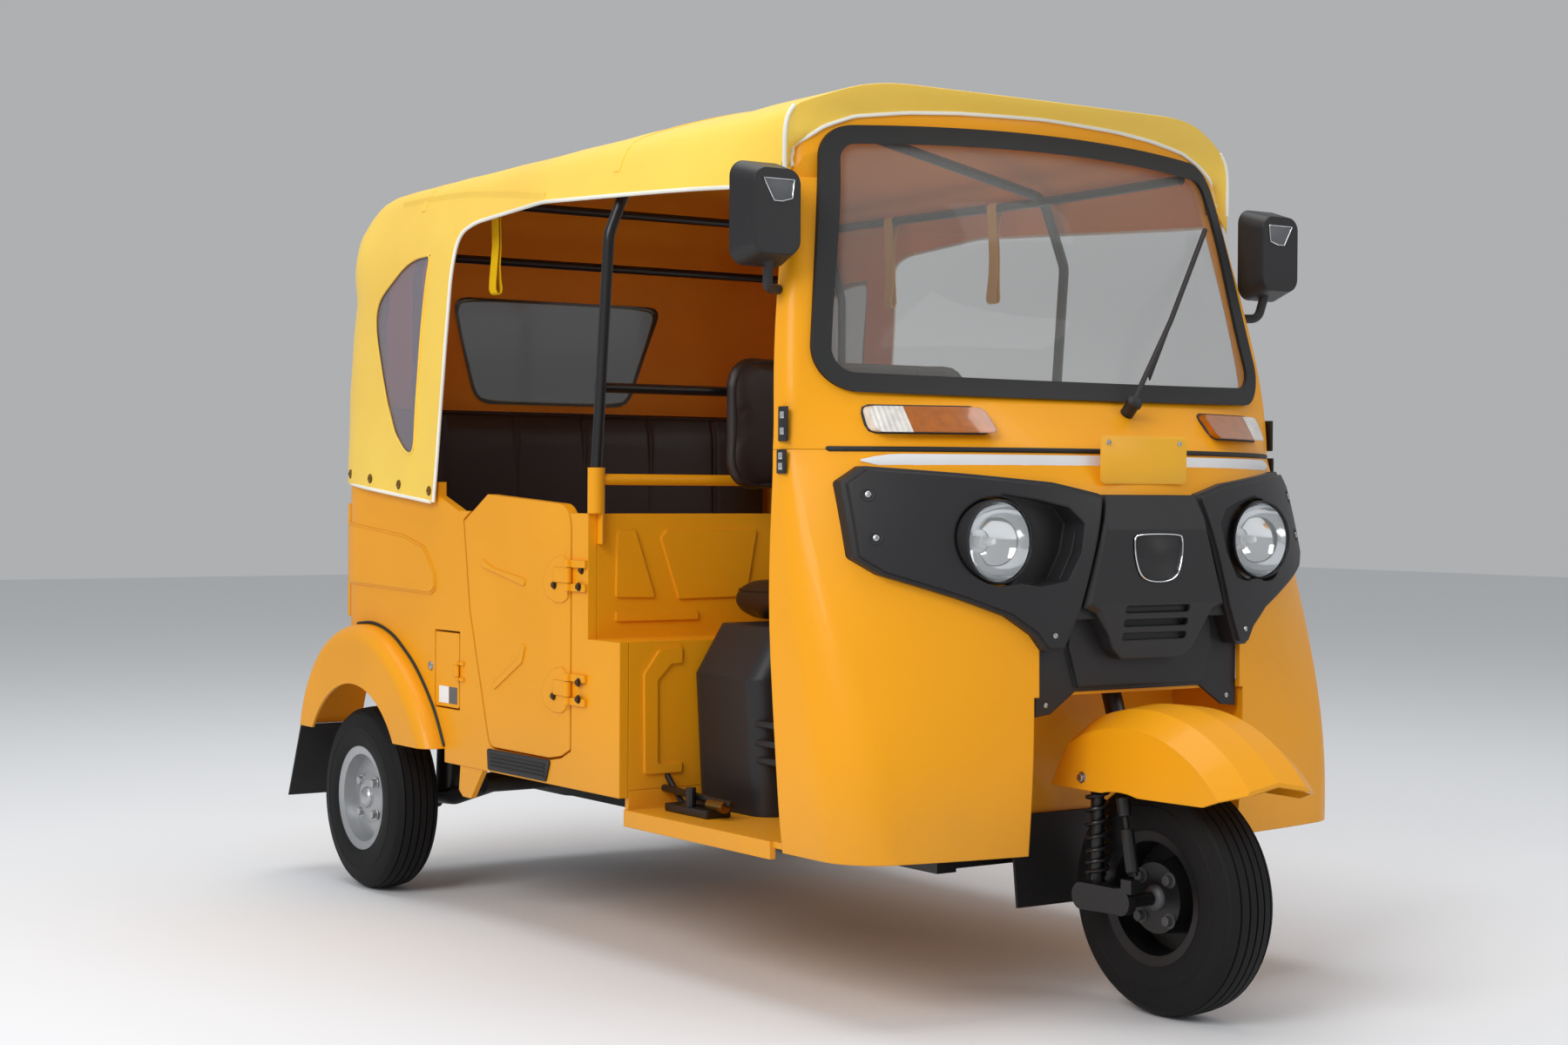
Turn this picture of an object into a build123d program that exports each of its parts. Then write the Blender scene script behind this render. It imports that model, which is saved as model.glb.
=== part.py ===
"""Three-wheeled auto rickshaw with an open cab, half doors and a fabric canopy.

Frame: +Z up, the vehicle faces -Y, +X is its left side. The origin lies on the
ground in the middle of the vehicle. All sizes are millimetres.
"""
from build123d import *
import math
import os

os.makedirs("parts", exist_ok=True)

# ---------------------------------------------------------------- driving dimensions
wheelbase = 2000.0
front_axle_y = -1065.0
rear_axle_y = front_axle_y + wheelbase
rear_track = 1150.0            # between the middles of the rear tyres
tyre_diameter = 415.0
tyre_width = 112.0
rim_diameter = 236.0
axle_z = tyre_diameter / 2

body_half = 600.0            # outer skin of the passenger tub
body_rear_y = rear_axle_y + 230.0
body_corner_r = 150.0
body_wall = 20.0
skirt_z = 323.0
waist_z = 930.0
skin = 10.0                  # pressed front panels
fabric = 8.0                 # canopy cloth with its lining
run_gap = 5.0                # clearance round a moving panel
seat_gap = 0.3               # clearance between fitted pieces

seam_z = 986.0               # joint between lower cowl and windscreen frame
seam_gap = 0.5
roof_z = 1700.0
canopy_half = body_half + seat_gap + fabric
canopy_rear_y = body_rear_y + seat_gap + fabric

driver_floor_z = 300.0
cabin_floor_z = 337.0
sheet = 12.0                 # floor and partition pressings
partition_y = -55.0
toe_box_y = -178.0
toe_box_z = 622.0
partition_z = 868.0

steer_foot = (0.0, front_axle_y - 40.0, 0.0)
steer_rake = 20.0
column_r = 18.0
steer_dir = (0.0, math.sin(math.radians(steer_rake)), math.cos(math.radians(steer_rake)))

pieces = {}


def save(name, part):
    """Label a finished piece and write it as one STEP file."""
    part.label = name
    export_step(part, f"parts/{name}.step")
    pieces[name] = part


def steer_point(z):
    """Point of the steering axis at height z."""
    return Vector(0.0, steer_foot[1] + z * steer_dir[1] / steer_dir[2], z)


def tube(points, radius, bend):
    """Round tube along straight runs with equal bends."""
    with BuildPart() as piece:
        with BuildLine() as path:
            if bend:
                FilletPolyline(*points, radius=bend)
            else:
                Polyline(*points)
        with BuildSketch(Plane(origin=path.line @ 0, z_dir=path.line % 0)):
            Circle(radius)
        sweep()
    return piece.part


# ---------------------------------------------------------------- front shell sections
# columns: height, half width, rear edge y, y where front arc meets the side, nose y, corner radius
lower_sections = (
    (285.0, body_half - 12.0, -713.0, -912.0, -985.0, 105.0),
    (420.0, body_half - 2.0, -708.0, -893.0, -1000.0, 112.0),
    (620.0, body_half + 2.0, -693.0, -833.0, -1012.0, 105.0),
    (800.0, body_half, -685.0, -765.0, -1012.0, 80.0),
    (900.0, body_half - 6.0, -682.0, -735.0, -995.0, 60.0),
    (seam_z, body_half - 12.0, -676.0, -712.0, -953.0, 34.0),
)
upper_sections = (
    (seam_z + seam_gap, body_half - 12.0, -676.0, -712.0, -953.0, 34.0),
    (1042.0, body_half - 14.0, -675.0, -714.0, -892.0, 34.0),
    (1100.0, body_half - 17.0, -670.0, -712.0, -832.0, 34.0),
    (1320.0, body_half - 48.0, -640.0, -674.0, -780.0, 34.0),
    (1540.0, body_half - 87.0, -600.0, -630.0, -728.0, 34.0),
    (1640.0, body_half - 110.0, -585.0, -612.0, -704.0, 34.0),
)


def front_hull(sections, grow, back=0.0):
    """Solid hull through plan sections, each grown outwards by grow and run back by back."""
    with BuildPart() as hull:
        for height, half, rear_y, side_y, nose_y, corner in sections:
            wide, rear = half + grow, rear_y + back
            side, nose = side_y - grow * 0.6, nose_y - grow
            with BuildSketch(Plane.XY.offset(height)) as plan:
                with BuildLine():
                    Line((wide, rear), (wide, side))
                    ThreePointArc((wide, side), (0, nose), (-wide, side))
                    Line((-wide, side), (-wide, rear))
                    Line((-wide, rear), (wide, rear))
                make_face()
                front = plan.vertices().group_by(Axis.Y)[0]
                fillet(front, corner + grow)
        loft()
    return hull.part


lower_outer = front_hull(lower_sections, 0.0)
lower_inner = front_hull(lower_sections, -skin, back=50.0)
upper_outer = front_hull(upper_sections, 0.0)
upper_inner = front_hull(upper_sections, -skin - 18.0, back=80.0)

well_half = 250.0
well_rear_y = -800.0
well_top_z = 560.0
column_hole_r = 48.0
lamp_x, lamp_z, lamp_r = 314.0, 829.0, 73.0
lamp_y = -962.0
# bay in the nose closed by the fascia's base plate, and the bowl behind each lamp (x, z)
bay_outline = ((-240.3, 500.0), (-240.3, 700.0), (240.3, 700.0), (240.3, 500.0))
bay_face_y, bay_rear_y = -975.0, -968.7
bowl_outline = (
    (554.0, 932.0), (382.0, 923.0), (244.0, 902.0), (188.0, 888.0), (162.0, 860.0), (173.0, 810.0),
    (201.0, 762.0), (250.0, 752.0), (313.0, 762.0), (430.0, 796.0), (554.0, 830.0),
)
bowl_floor_y, bowl_wall = -957.0, 5.0


def front_prism(points, near_y, depth, corner=0.0, grow=0.0):
    """Prism of a closed front-view outline from near_y rearwards by depth, its corners rounded."""
    with BuildPart() as prism:
        with BuildSketch(Plane.XZ.offset(-near_y)) as outline:
            with BuildLine():
                Polyline(*points, close=True)
            make_face()
            if corner:
                fillet(outline.vertices(), corner)
            if grow:
                offset(amount=grow, kind=Kind.ARC)
        extrude(amount=-depth)
    return prism.part


with BuildPart() as bowl_space:
    add(front_prism(bowl_outline, -1100.0, 1100.0 + bowl_floor_y + bowl_wall + seat_gap,
                    grow=bowl_wall + seat_gap))
    mirror(about=Plane.YZ)

with BuildPart() as lower_cowl:
    add(lower_outer)
    add(lower_inner, mode=Mode.SUBTRACT)
    with BuildPart(mode=Mode.PRIVATE) as well:
        add(lower_outer)
        with BuildSketch(Plane.XY.offset(285.0)):
            with Locations((0, well_rear_y + sheet - 200)):
                Rectangle(2 * (well_half + sheet), 400)
        extrude(amount=well_top_z + sheet - 285.0, mode=Mode.INTERSECT)
    add(well.part)
    with BuildSketch(Plane.XY.offset(200.0)):
        with Locations((0, well_rear_y - 200)):
            Rectangle(2 * well_half, 400)
    extrude(amount=well_top_z - 200.0, mode=Mode.SUBTRACT)
    with BuildSketch(Plane(origin=tuple(steer_point(450.0)), z_dir=steer_dir)):
        Circle(column_hole_r)
    extrude(amount=220.0, mode=Mode.SUBTRACT)
    with BuildSketch(Plane.XZ.offset(1100.0)):
        with Locations((lamp_x, lamp_z), (-lamp_x, lamp_z)):
            Circle(lamp_r + seat_gap)
    extrude(amount=-500.0, mode=Mode.SUBTRACT)
    add(front_prism(bay_outline, -1100.0, 1100.0 + bay_rear_y), mode=Mode.SUBTRACT)
    add(bowl_space.part, mode=Mode.SUBTRACT)
save("lower_cowl", lower_cowl.part)

# windscreen outline in front view: half widths at its foot and head
screen_foot_half, screen_foot_z = body_half - 48.0, 1090.0
screen_head_half, screen_head_z = body_half - 130.0, 1566.0
screen_corner_r = 72.0


def screen_prism(inset):
    """Prism of the windscreen opening in front view, drawn in by inset."""
    foot, head = (screen_foot_half, screen_foot_z), (screen_head_half, screen_head_z)
    with BuildPart() as prism:
        with BuildSketch(Plane.XZ) as outline:
            with BuildLine():
                ThreePointArc((-foot[0], foot[1]), (0, foot[1] - 8), foot)
                Line(foot, head)
                ThreePointArc(head, (0, head[1] + 14), (-head[0], head[1]))
                Line((-head[0], head[1]), (-foot[0], foot[1]))
            make_face()
            fillet(outline.vertices(), screen_corner_r)
            if inset:
                offset(amount=-inset, kind=Kind.ARC)
        extrude(amount=1100.0)
    return prism.part


def front_layer(outer, inner):
    """Layer of the windscreen frame's surface between two depths (positive is outwards)."""
    with BuildPart() as layer:
        add(front_hull(upper_sections, outer))
        add(front_hull(upper_sections, inner, back=60.0), mode=Mode.SUBTRACT)
    return layer.part


screen_lip = 16.0            # gasket overlap on the frame
gasket_width = 34.0
glass_t = 5.0

with BuildPart() as windscreen_gasket:
    add(front_layer(9.0, seat_gap))
    add(screen_prism(0.0), mode=Mode.INTERSECT)
    add(screen_prism(gasket_width), mode=Mode.SUBTRACT)
save("windscreen_gasket", windscreen_gasket.part)

with BuildPart() as windscreen_glass:
    add(front_layer(-2.0, -2.0 - glass_t))
    add(screen_prism(screen_lip + seat_gap), mode=Mode.INTERSECT)
save("windscreen_glass", windscreen_glass.part)

# ---------------------------------------------------------------- black fascia
fascia_t = 24.0
fascia_step, fascia_edge = 16.0, 6.0      # main layer, and how far the raised face stands inside it
# front view of one wing: x, z from the inner top round by the outer end to the inner foot
wing_outline = (
    (111.0, 911.0), (205.0, 932.0), (350.0, 946.0), (500.0, 958.0), (536.0, 930.0), (536.0, 800.0),
    (500.0, 772.0), (380.0, 730.0), (306.0, 701.0), (260.0, 668.0), (240.0, 640.0), (206.0, 640.0),
    (173.0, 712.0), (135.0, 832.0),
)
shield_outline = (
    (-106.0, 911.0), (106.0, 911.0), (130.0, 832.0), (168.0, 715.0), (138.0, 704.0), (110.0, 668.0),
    (94.0, 640.0), (71.0, 622.0),
)
shield_nose_y = -1028.0

with BuildPart() as cowl_face:
    add(front_hull(lower_sections, seat_gap, back=60.0))
    add(front_prism(bay_outline, -1100.0, 1100.0 + bay_face_y - seat_gap), mode=Mode.SUBTRACT)

with BuildPart() as fascia_wings:
    add(front_hull(lower_sections, fascia_step))
    with BuildPart(mode=Mode.PRIVATE) as wing_pair:
        add(front_prism(wing_outline, -1100.0, 500.0, corner=10.0))
        mirror(about=Plane.YZ)
    add(wing_pair.part, mode=Mode.INTERSECT)
    with BuildPart(mode=Mode.PRIVATE) as raised_face:
        add(front_hull(lower_sections, fascia_t))
        with BuildPart(mode=Mode.PRIVATE) as face_pair:
            add(front_prism(wing_outline, -1100.0, 500.0, corner=10.0, grow=-fascia_edge))
            mirror(about=Plane.YZ)
        add(face_pair.part, mode=Mode.INTERSECT)
    add(raised_face.part)
    add(cowl_face.part, mode=Mode.SUBTRACT)
    with BuildPart(mode=Mode.PRIVATE) as bowl_pair:
        add(front_prism(bowl_outline, -990.0, 990.0 + bowl_floor_y + bowl_wall, grow=bowl_wall))
        mirror(about=Plane.YZ)
        add(front_hull(lower_sections, fascia_t), mode=Mode.INTERSECT)
    add(bowl_pair.part)
    with BuildPart(mode=Mode.PRIVATE) as bowl_hollow:
        add(front_prism(bowl_outline, -1100.0, 1100.0 + bowl_floor_y, corner=8.0))
        mirror(about=Plane.YZ)
    add(bowl_hollow.part, mode=Mode.SUBTRACT)
    with BuildSketch(Plane.XZ.offset(1100.0)):
        with Locations((lamp_x, lamp_z), (-lamp_x, lamp_z)):
            Circle(lamp_r + 4.0)
    extrude(amount=-500.0, mode=Mode.SUBTRACT)
save("fascia_wings", fascia_wings.part)

# plate that closes the bay below the shield, arched over the front wheel
base_outline = (
    (-240.0, 699.7), (240.0, 699.7), (240.0, 525.0), (206.0, 529.0), (150.0, 566.0), (-150.0, 566.0),
    (-206.0, 529.0), (-240.0, 525.0),
)
chin_outline = ((-166.0, 699.0), (166.0, 699.0), (172.0, 648.0), (148.0, 574.0), (-148.0, 574.0), (-172.0, 648.0))
base_t, chin_t = 6.0, 8.0
with BuildPart() as fascia_base:
    add(front_prism(base_outline, bay_face_y, base_t))
    add(front_prism(chin_outline, bay_face_y - chin_t, chin_t + 1.0, corner=4.0))
    add(fascia_wings.part, mode=Mode.SUBTRACT)
save("fascia_base", fascia_base.part)

slot_heights = (662.0, 686.0, 710.0)
slot_floor_y = -1004.0
with BuildPart() as fascia_centre:
    with BuildSketch(Plane.XZ.offset(-shield_nose_y)):
        with BuildLine():
            Polyline(*shield_outline, *[(-x, z) for x, z in shield_outline[:1:-1]], close=True)
        make_face()
    extrude(amount=-170.0)
    chamfer(fascia_centre.faces().sort_by(Axis.Y)[0].edges(), 12.0)
    with BuildSketch(Plane.YZ) as nose_side:
        with BuildLine():
            Polyline((-1005.0, 911.0), (-1022.0, 850.0), (-1026.0, 720.0), (-1008.0, 622.0), (-850.0, 622.0),
                     (-850.0, 911.0), close=True)
        make_face()
    extrude(amount=300.0, both=True, mode=Mode.INTERSECT)
    # three air slots
    with BuildSketch(Plane.XZ.offset(-shield_nose_y)):
        with Locations(*[(0, z) for z in slot_heights]):
            RectangleRounded(154.0, 13.0, 6.0)
    extrude(amount=-(slot_floor_y - shield_nose_y), mode=Mode.SUBTRACT)
    add(cowl_face.part, mode=Mode.SUBTRACT)
    with BuildPart(mode=Mode.PRIVATE) as chin_space:
        add(front_prism(chin_outline, bay_face_y - chin_t - seat_gap, 200.0, corner=4.0, grow=seat_gap))
    add(chin_space.part, mode=Mode.SUBTRACT)
save("fascia_centre", fascia_centre.part)

with BuildPart() as headlamps:
    with BuildSketch(Plane.XZ.offset(-lamp_y + 24.0)):
        with Locations((lamp_x, lamp_z), (-lamp_x, lamp_z)):
            Circle(lamp_r)
    extrude(amount=-94.0)
    fillet(headlamps.edges().group_by(Axis.Y)[0], 22.0)
save("headlamps", headlamps.part)

signal_x, signal_z, signal_wide, signal_high, signal_t = body_half - 232.0, 1040.0, 204.0, 46.0, 22.0
with BuildPart() as turn_signals:
    add(front_hull(upper_sections, signal_t))
    add(front_hull(upper_sections, seat_gap, back=60.0), mode=Mode.SUBTRACT)
    with BuildPart(mode=Mode.PRIVATE) as signal_pair:
        with BuildSketch(Plane.XZ.offset(600.0)):
            with Locations((signal_x, signal_z), (-signal_x, signal_z)):
                RectangleRounded(signal_wide, signal_high, 12.0)
        extrude(amount=500.0)
    add(signal_pair.part, mode=Mode.INTERSECT)
save("turn_signals", turn_signals.part)

# wiper: pivot on the frame below the glass, arm and blade leaning across it
wiper_foot = (60.0, -873.6, 1059.0)
wiper_normal = (0, -0.7, 0.7)
wiper_elbow = (235.0, -803.0, 1240.0)
wiper_tip = (402.0, -722.0, 1430.0)
with BuildPart() as wiper:
    with BuildSketch(Plane(origin=wiper_foot, z_dir=wiper_normal)):
        Circle(13.0)
    extrude(amount=26.0)
    add(tube([(60.0, -889.0, 1076.0), wiper_elbow, wiper_tip], 5.0, 0))
save("wiper", wiper.part)

# mirrors: shell head on a stalk from the windscreen pillar
mirror_head = (body_half + 12.0, -690.0, 1396.0)
mirror_foot = (body_half - 35.0, -656.0, 1268.0)
with BuildPart() as mirrors:
    with BuildSketch(Plane.XZ.offset(-mirror_head[1] + 32.0)):
        with Locations((mirror_head[0], mirror_head[2])):
            RectangleRounded(96.0, 148.0, 26.0)
    with BuildSketch(Plane.XZ.offset(-mirror_head[1] - 26.0)):
        with Locations((mirror_head[0], mirror_head[2])):
            RectangleRounded(124.0, 182.0, 30.0)
    loft()
    add(tube([mirror_foot, (mirror_foot[0] + 35.0, -672.0, 1268.0), (mirror_foot[0] + 41.0, -690.0, 1330.0)],
             9.0, 18.0))
    mirror(about=Plane.YZ)
save("mirrors", mirrors.part)

# dashboard closes the cowl below the screen
dash_low_z, dash_top_z, dash_rear_y = 880.0, 955.0, -730.0
with BuildPart() as dashboard:
    add(front_hull(lower_sections, -skin - seat_gap, back=30.0))
    with BuildSketch(Plane.XY.offset(dash_low_z)):
        with Locations((0, dash_rear_y - 200)):
            Rectangle(1300.0, 400.0)
    extrude(amount=dash_top_z - dash_low_z, mode=Mode.INTERSECT)
    with BuildSketch(Plane(origin=tuple(steer_point(820.0)), z_dir=steer_dir)):
        Circle(36.0)
    extrude(amount=240.0, mode=Mode.SUBTRACT)
    with BuildSketch(Plane.XZ.offset(1100.0)):
        with Locations((lamp_x, lamp_z), (-lamp_x, lamp_z)):
            Circle(lamp_r + 12.0)
    extrude(amount=-300.0, mode=Mode.SUBTRACT)
    add(bowl_space.part, mode=Mode.SUBTRACT)
save("dashboard", dashboard.part)

# ---------------------------------------------------------------- rear tub
door_front_y, door_bottom_z, door_top_z = 14.0, 376.0, 904.0
door_t = 22.0
deck_z = 617.0
seat_box_y = rear_axle_y - 415.0
wheelhouse_x = body_half - 120.0
fender_outer_x = body_half + 50.0
fender_t = 6.0
fender_round = 34.0
lid_half, lid_low_z, lid_top_z = 330.0, 385.0, 700.0
plate_pitch, plate_z, plate_hole_r = 140.0, 790.0, 3.5
fuel_lid_y0, fuel_lid_y1, fuel_lid_z0, fuel_lid_z1 = 491.0, 610.0, 440.0, 609.0
lid_gap = 4.0
lid_knuckle_r, lid_pin_r, lid_knuckle_l = 6.0, 3.0, 60.0
lid_axis_y, lid_axis_z = body_rear_y + lid_knuckle_r + 1.0, lid_top_z - 2.0
fuel_axis_x, fuel_axis_y = -(body_half + 5.0), fuel_lid_y0 + 2.0
fuel_knuckle_r, fuel_pin_r, fuel_knuckle_h = 4.0, 2.0, 24.0


def side_prism(points, x0, x1, corner=0.0):
    """Prism of a closed side-view outline between two x planes, its corners rounded."""
    with BuildPart() as prism:
        with BuildSketch(Plane.YZ.offset(x0)) as outline:
            with BuildLine():
                Polyline(*points, close=True)
            make_face()
            if corner:
                fillet(outline.vertices(), corner)
        extrude(amount=x1 - x0)
    return prism.part


def door_prism(gap, x0, x1):
    """Half door between two x planes; gap widens it into its opening."""
    with BuildPart() as prism:
        with BuildSketch(Plane.YZ.offset(x0)) as outline:
            with BuildLine():
                Polyline((door_front_y, 400.0), (door_front_y, 884.0), (366.0, door_top_z), (473.0, 847.0),
                         (443.0, 655.0), (352.0, door_bottom_z), (98.0, door_bottom_z), (50.0, 384.0), close=True)
            make_face()
            front_top = outline.vertices().sort_by_distance((door_front_y, 884.0))[0]
            fillet(front_top, 50.0)
            fillet(outline.vertices().sort_by_distance((352.0, door_bottom_z))[0], 30.0)
            if gap:
                offset(amount=gap, kind=Kind.ARC)
        extrude(amount=x1 - x0)
    return prism.part


# side view of the fender's outer edge as three arcs (start, point on the arc, end), y from the axle
fender_arcs = (
    ((-373.0, 352.0), (-283.0, 474.0), (-170.0, 556.0)),
    ((-170.0, 556.0), (10.0, 604.0), (185.0, 551.0)),
    ((185.0, 551.0), (265.0, 470.0), (313.0, 364.0)),
)
fender_rear_y, fender_front_y = 313.0, -373.0
fender_foot_z = 352.0
fender_arch_r = 262.0


def fender_hull(x0, x1, inset, round_r=0.0):
    """Body of one rear fender between two x planes, drawn in by inset, its outer rim rounded."""
    with BuildPart() as hull:
        with BuildSketch(Plane(origin=(x0, rear_axle_y, 0.0), x_dir=(0, 1, 0), z_dir=(1, 0, 0))) as outline:
            with BuildLine():
                for start, middle, end in fender_arcs:
                    ThreePointArc(start, middle, end)
                Polyline(fender_arcs[-1][-1], (fender_rear_y, 300.0), (fender_front_y, 300.0), fender_arcs[0][0])
            make_face()
            if inset:
                offset(amount=-inset, kind=Kind.ARC)
        extrude(amount=x1 - x0)
        if round_r:
            crown = hull.faces().sort_by(Axis.X)[-1].edges().filter_by(GeomType.CIRCLE)
            fillet([edge for edge in crown if edge.radius > 100.0], round_r)
    return hull.part


def plan_hull(grow, z0, z1):
    """Outer body of the tub in plan, grown outwards, between two heights."""
    with BuildPart() as hull:
        with BuildSketch(Plane.XY.offset(z0)) as plan:
            with Locations((0, (body_rear_y + grow + toe_box_y) / 2)):
                Rectangle(2 * (body_half + grow), body_rear_y + grow - toe_box_y)
            fillet(plan.vertices().group_by(Axis.Y)[-1], body_corner_r + grow)
        extrude(amount=z1 - z0)
    return hull.part


# side view of the pressed panel above the fender (y from the rear end, z) and of the jack bracket (y, z)
panel_outline = (
    (60.0, 845.0), (-1.0, 844.0), (-399.0, 812.0), (-504.0, 788.0), (-556.0, 733.0), (-564.0, 698.0),
    (-535.0, 684.0), (-11.0, 696.0), (60.0, 698.0),
)
panel_layers = ((2.5, 0.0), (4.5, 5.0))        # height proud, drawn in
panel_end_x = body_half - 95.0
jack_outline = ((387.0, 330.0), (387.0, 322.0), (441.0, 257.0), (478.0, 257.0), (497.0, 270.0), (490.0, 330.0))
well_mid_y = rear_axle_y - 85.0
bench_wall_y = body_rear_y - 85.0     # panel behind the bench

with BuildPart() as rear_body:
    with BuildSketch(Plane.XY.offset(skirt_z)) as plan:
        with Locations((0, (body_rear_y + toe_box_y) / 2)):
            Rectangle(2 * body_half, body_rear_y - toe_box_y)
        fillet(plan.vertices().group_by(Axis.Y)[-1], body_corner_r)
    extrude(amount=waist_z - skirt_z)
    with BuildSketch(Plane.XY.offset(skirt_z)) as hollow:
        with Locations((0, (body_rear_y - body_wall + toe_box_y - 50) / 2)):
            Rectangle(2 * (body_half - body_wall), body_rear_y - body_wall - toe_box_y + 50)
        fillet(hollow.vertices().group_by(Axis.Y)[-1], body_corner_r - body_wall)
    extrude(amount=waist_z - skirt_z, mode=Mode.SUBTRACT)
    # deck, seat box front, wheelhouse walls and the panel behind the bench
    with BuildPart(mode=Mode.PRIVATE) as inner_walls:
        with BuildSketch(Plane.XY.offset(skirt_z)) as inside:
            with Locations((0, (body_rear_y - body_wall / 2 + seat_box_y) / 2)):
                Rectangle(2 * (body_half - body_wall / 2), body_rear_y - body_wall / 2 - seat_box_y)
            fillet(inside.vertices().group_by(Axis.Y)[-1], body_corner_r - body_wall / 2)
        extrude(amount=deck_z - skirt_z)
        with BuildSketch(Plane.XY.offset(skirt_z)):
            with Locations((0, (body_rear_y + seat_box_y) / 2 + sheet / 2)):
                Rectangle(2 * (wheelhouse_x - sheet), body_rear_y - seat_box_y - sheet)
        extrude(amount=deck_z - sheet - skirt_z, mode=Mode.SUBTRACT)
        with BuildSketch(Plane.XY.offset(skirt_z)):
            with Locations((wheelhouse_x + 100, well_mid_y), (-wheelhouse_x - 100, well_mid_y)):
                Rectangle(200.0, 2 * (well_mid_y - seat_box_y - sheet))
        extrude(amount=deck_z - sheet - skirt_z, mode=Mode.SUBTRACT)
    add(inner_walls.part)
    with BuildSketch(Plane.XY.offset(deck_z)):
        with Locations((0, bench_wall_y)):
            Rectangle(2 * (body_half - body_wall / 2), sheet)
    extrude(amount=880.0 - deck_z)
    for proud, drawn in panel_layers:
        with BuildPart(mode=Mode.PRIVATE) as panel:
            add(plan_hull(proud, 600.0, 900.0))
            add(plan_hull(-2.0, 590.0, 910.0), mode=Mode.SUBTRACT)
            with BuildSketch(Plane.YZ.offset(-800.0)) as side_view:
                with BuildLine():
                    Polyline(*[(body_rear_y + y, z) for y, z in panel_outline], close=True)
                make_face()
                fillet([v for v in side_view.vertices() if v.X < body_rear_y - 450.0], 18.0)
                if drawn:
                    offset(amount=-drawn, kind=Kind.ARC)
            extrude(amount=1600.0, mode=Mode.INTERSECT)
            with BuildSketch(Plane.XY.offset(590.0)):
                with Locations((0, body_rear_y)):
                    Rectangle(2 * (panel_end_x + drawn), 300.0)
            extrude(amount=320.0, mode=Mode.SUBTRACT)
        add(panel.part)
    for side in (1, -1):
        add(side_prism(jack_outline, side * (body_half - 14.0), side * (body_half - 2.0), 5.0))
    # side cut-outs: above the toe box, the door opening, the slope of the waist
    add(side_prism(((-400.0, toe_box_z), (partition_y, toe_box_z), (partition_y, 1100.0), (-400.0, 1100.0)),
                   -700.0, 700.0), mode=Mode.SUBTRACT)
    add(side_prism(((-400.0, partition_z), (500.0, partition_z), (597.0, 900.0), (597.0, 1100.0),
                    (-400.0, 1100.0)), -700.0, 700.0), mode=Mode.SUBTRACT)
    for side in (1, -1):
        add(fender_hull(side * (wheelhouse_x + seat_gap), side * 700.0, -seat_gap), mode=Mode.SUBTRACT)
    add(door_prism(run_gap, -700.0, 700.0), mode=Mode.SUBTRACT)
    add(side_prism(((24.0, 860.0), (24.0, 1000.0), (440.0, 1000.0), (440.0, 860.0)), -700.0, 700.0),
        mode=Mode.SUBTRACT)
    with BuildSketch(Plane.XZ.offset(-body_rear_y - 50)):
        with Locations((0, (lid_low_z + lid_top_z) / 2)):
            Rectangle(2 * lid_half, lid_top_z - lid_low_z)
    extrude(amount=100.0, mode=Mode.SUBTRACT)
    with BuildSketch(Plane.YZ.offset(-body_half - 10.0)):
        with Locations(((fuel_lid_y0 + fuel_lid_y1) / 2, (fuel_lid_z0 + fuel_lid_z1) / 2)):
            Rectangle(fuel_lid_y1 - fuel_lid_y0, fuel_lid_z1 - fuel_lid_z0)
    extrude(amount=body_wall + 20.0, mode=Mode.SUBTRACT)
    # rear plate screws
    with BuildSketch(Plane.XZ.offset(-body_rear_y - 10.0)):
        with Locations((plate_pitch / 2, plate_z), (-plate_pitch / 2, plate_z)):
            Circle(plate_hole_r)
    extrude(amount=body_wall + 20.0, mode=Mode.SUBTRACT)
save("rear_body", rear_body.part)

# ---------------------------------------------------------------- rear fenders and flaps
fender_inner_x = wheelhouse_x + seat_gap

with BuildPart() as rear_fenders:
    add(fender_hull(fender_inner_x, fender_outer_x, 0.0, fender_round))
    add(fender_hull(fender_inner_x - 1.0, fender_outer_x - fender_t, fender_t, fender_round - fender_t),
        mode=Mode.SUBTRACT)
    with BuildSketch(Plane.YZ.offset(fender_inner_x - 1.0)):
        with Locations((rear_axle_y, axle_z)):
            Circle(fender_arch_r)
        with Locations((rear_axle_y, fender_foot_z - 200.0)):
            Rectangle(900.0, 400.0)
    extrude(amount=200.0, mode=Mode.SUBTRACT)
    mirror(about=Plane.YZ)
save("rear_fenders", rear_fenders.part)

flap_top, flap_foot, flap_t = (rear_axle_y + 301.0, fender_foot_z - 0.4), (rear_axle_y + 375.0, 175.0), 6.0
with BuildPart() as mudflaps:
    add(side_prism((flap_top, (flap_top[0] + flap_t, flap_top[1]), (flap_foot[0] + flap_t, flap_foot[1]), flap_foot),
                   wheelhouse_x + 25.0, fender_outer_x - 10.0))
    mirror(about=Plane.YZ)
save("mudflaps", mudflaps.part)

# tread plates below the doors
step_outline = ((89.0, 372.0), (107.0, 327.0), (356.0, 327.0), (360.0, 371.0))
step_t, step_rib_t = 3.0, 2.0
with BuildPart() as step_plates:
    for side in (1, -1):
        inner_x = body_half + seat_gap
        add(side_prism(step_outline, side * inner_x, side * (inner_x + step_t), 6.0))
        for z in (336.0, 344.0, 352.0, 360.0):
            add(side_prism(((112.0, z - 1.5), (112.0, z + 1.5), (346.0, z + 1.5), (346.0, z - 1.5)),
                           side * (inner_x + step_t - 1.0), side * (inner_x + step_t + step_rib_t)))
save("step_plates", step_plates.part)

# ---------------------------------------------------------------- canopy
roof_front_y = -728.0       # nose of the roof over the screen
roof_side_y = -640.0        # its front corners
canopy_hem_z = 886.0


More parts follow.
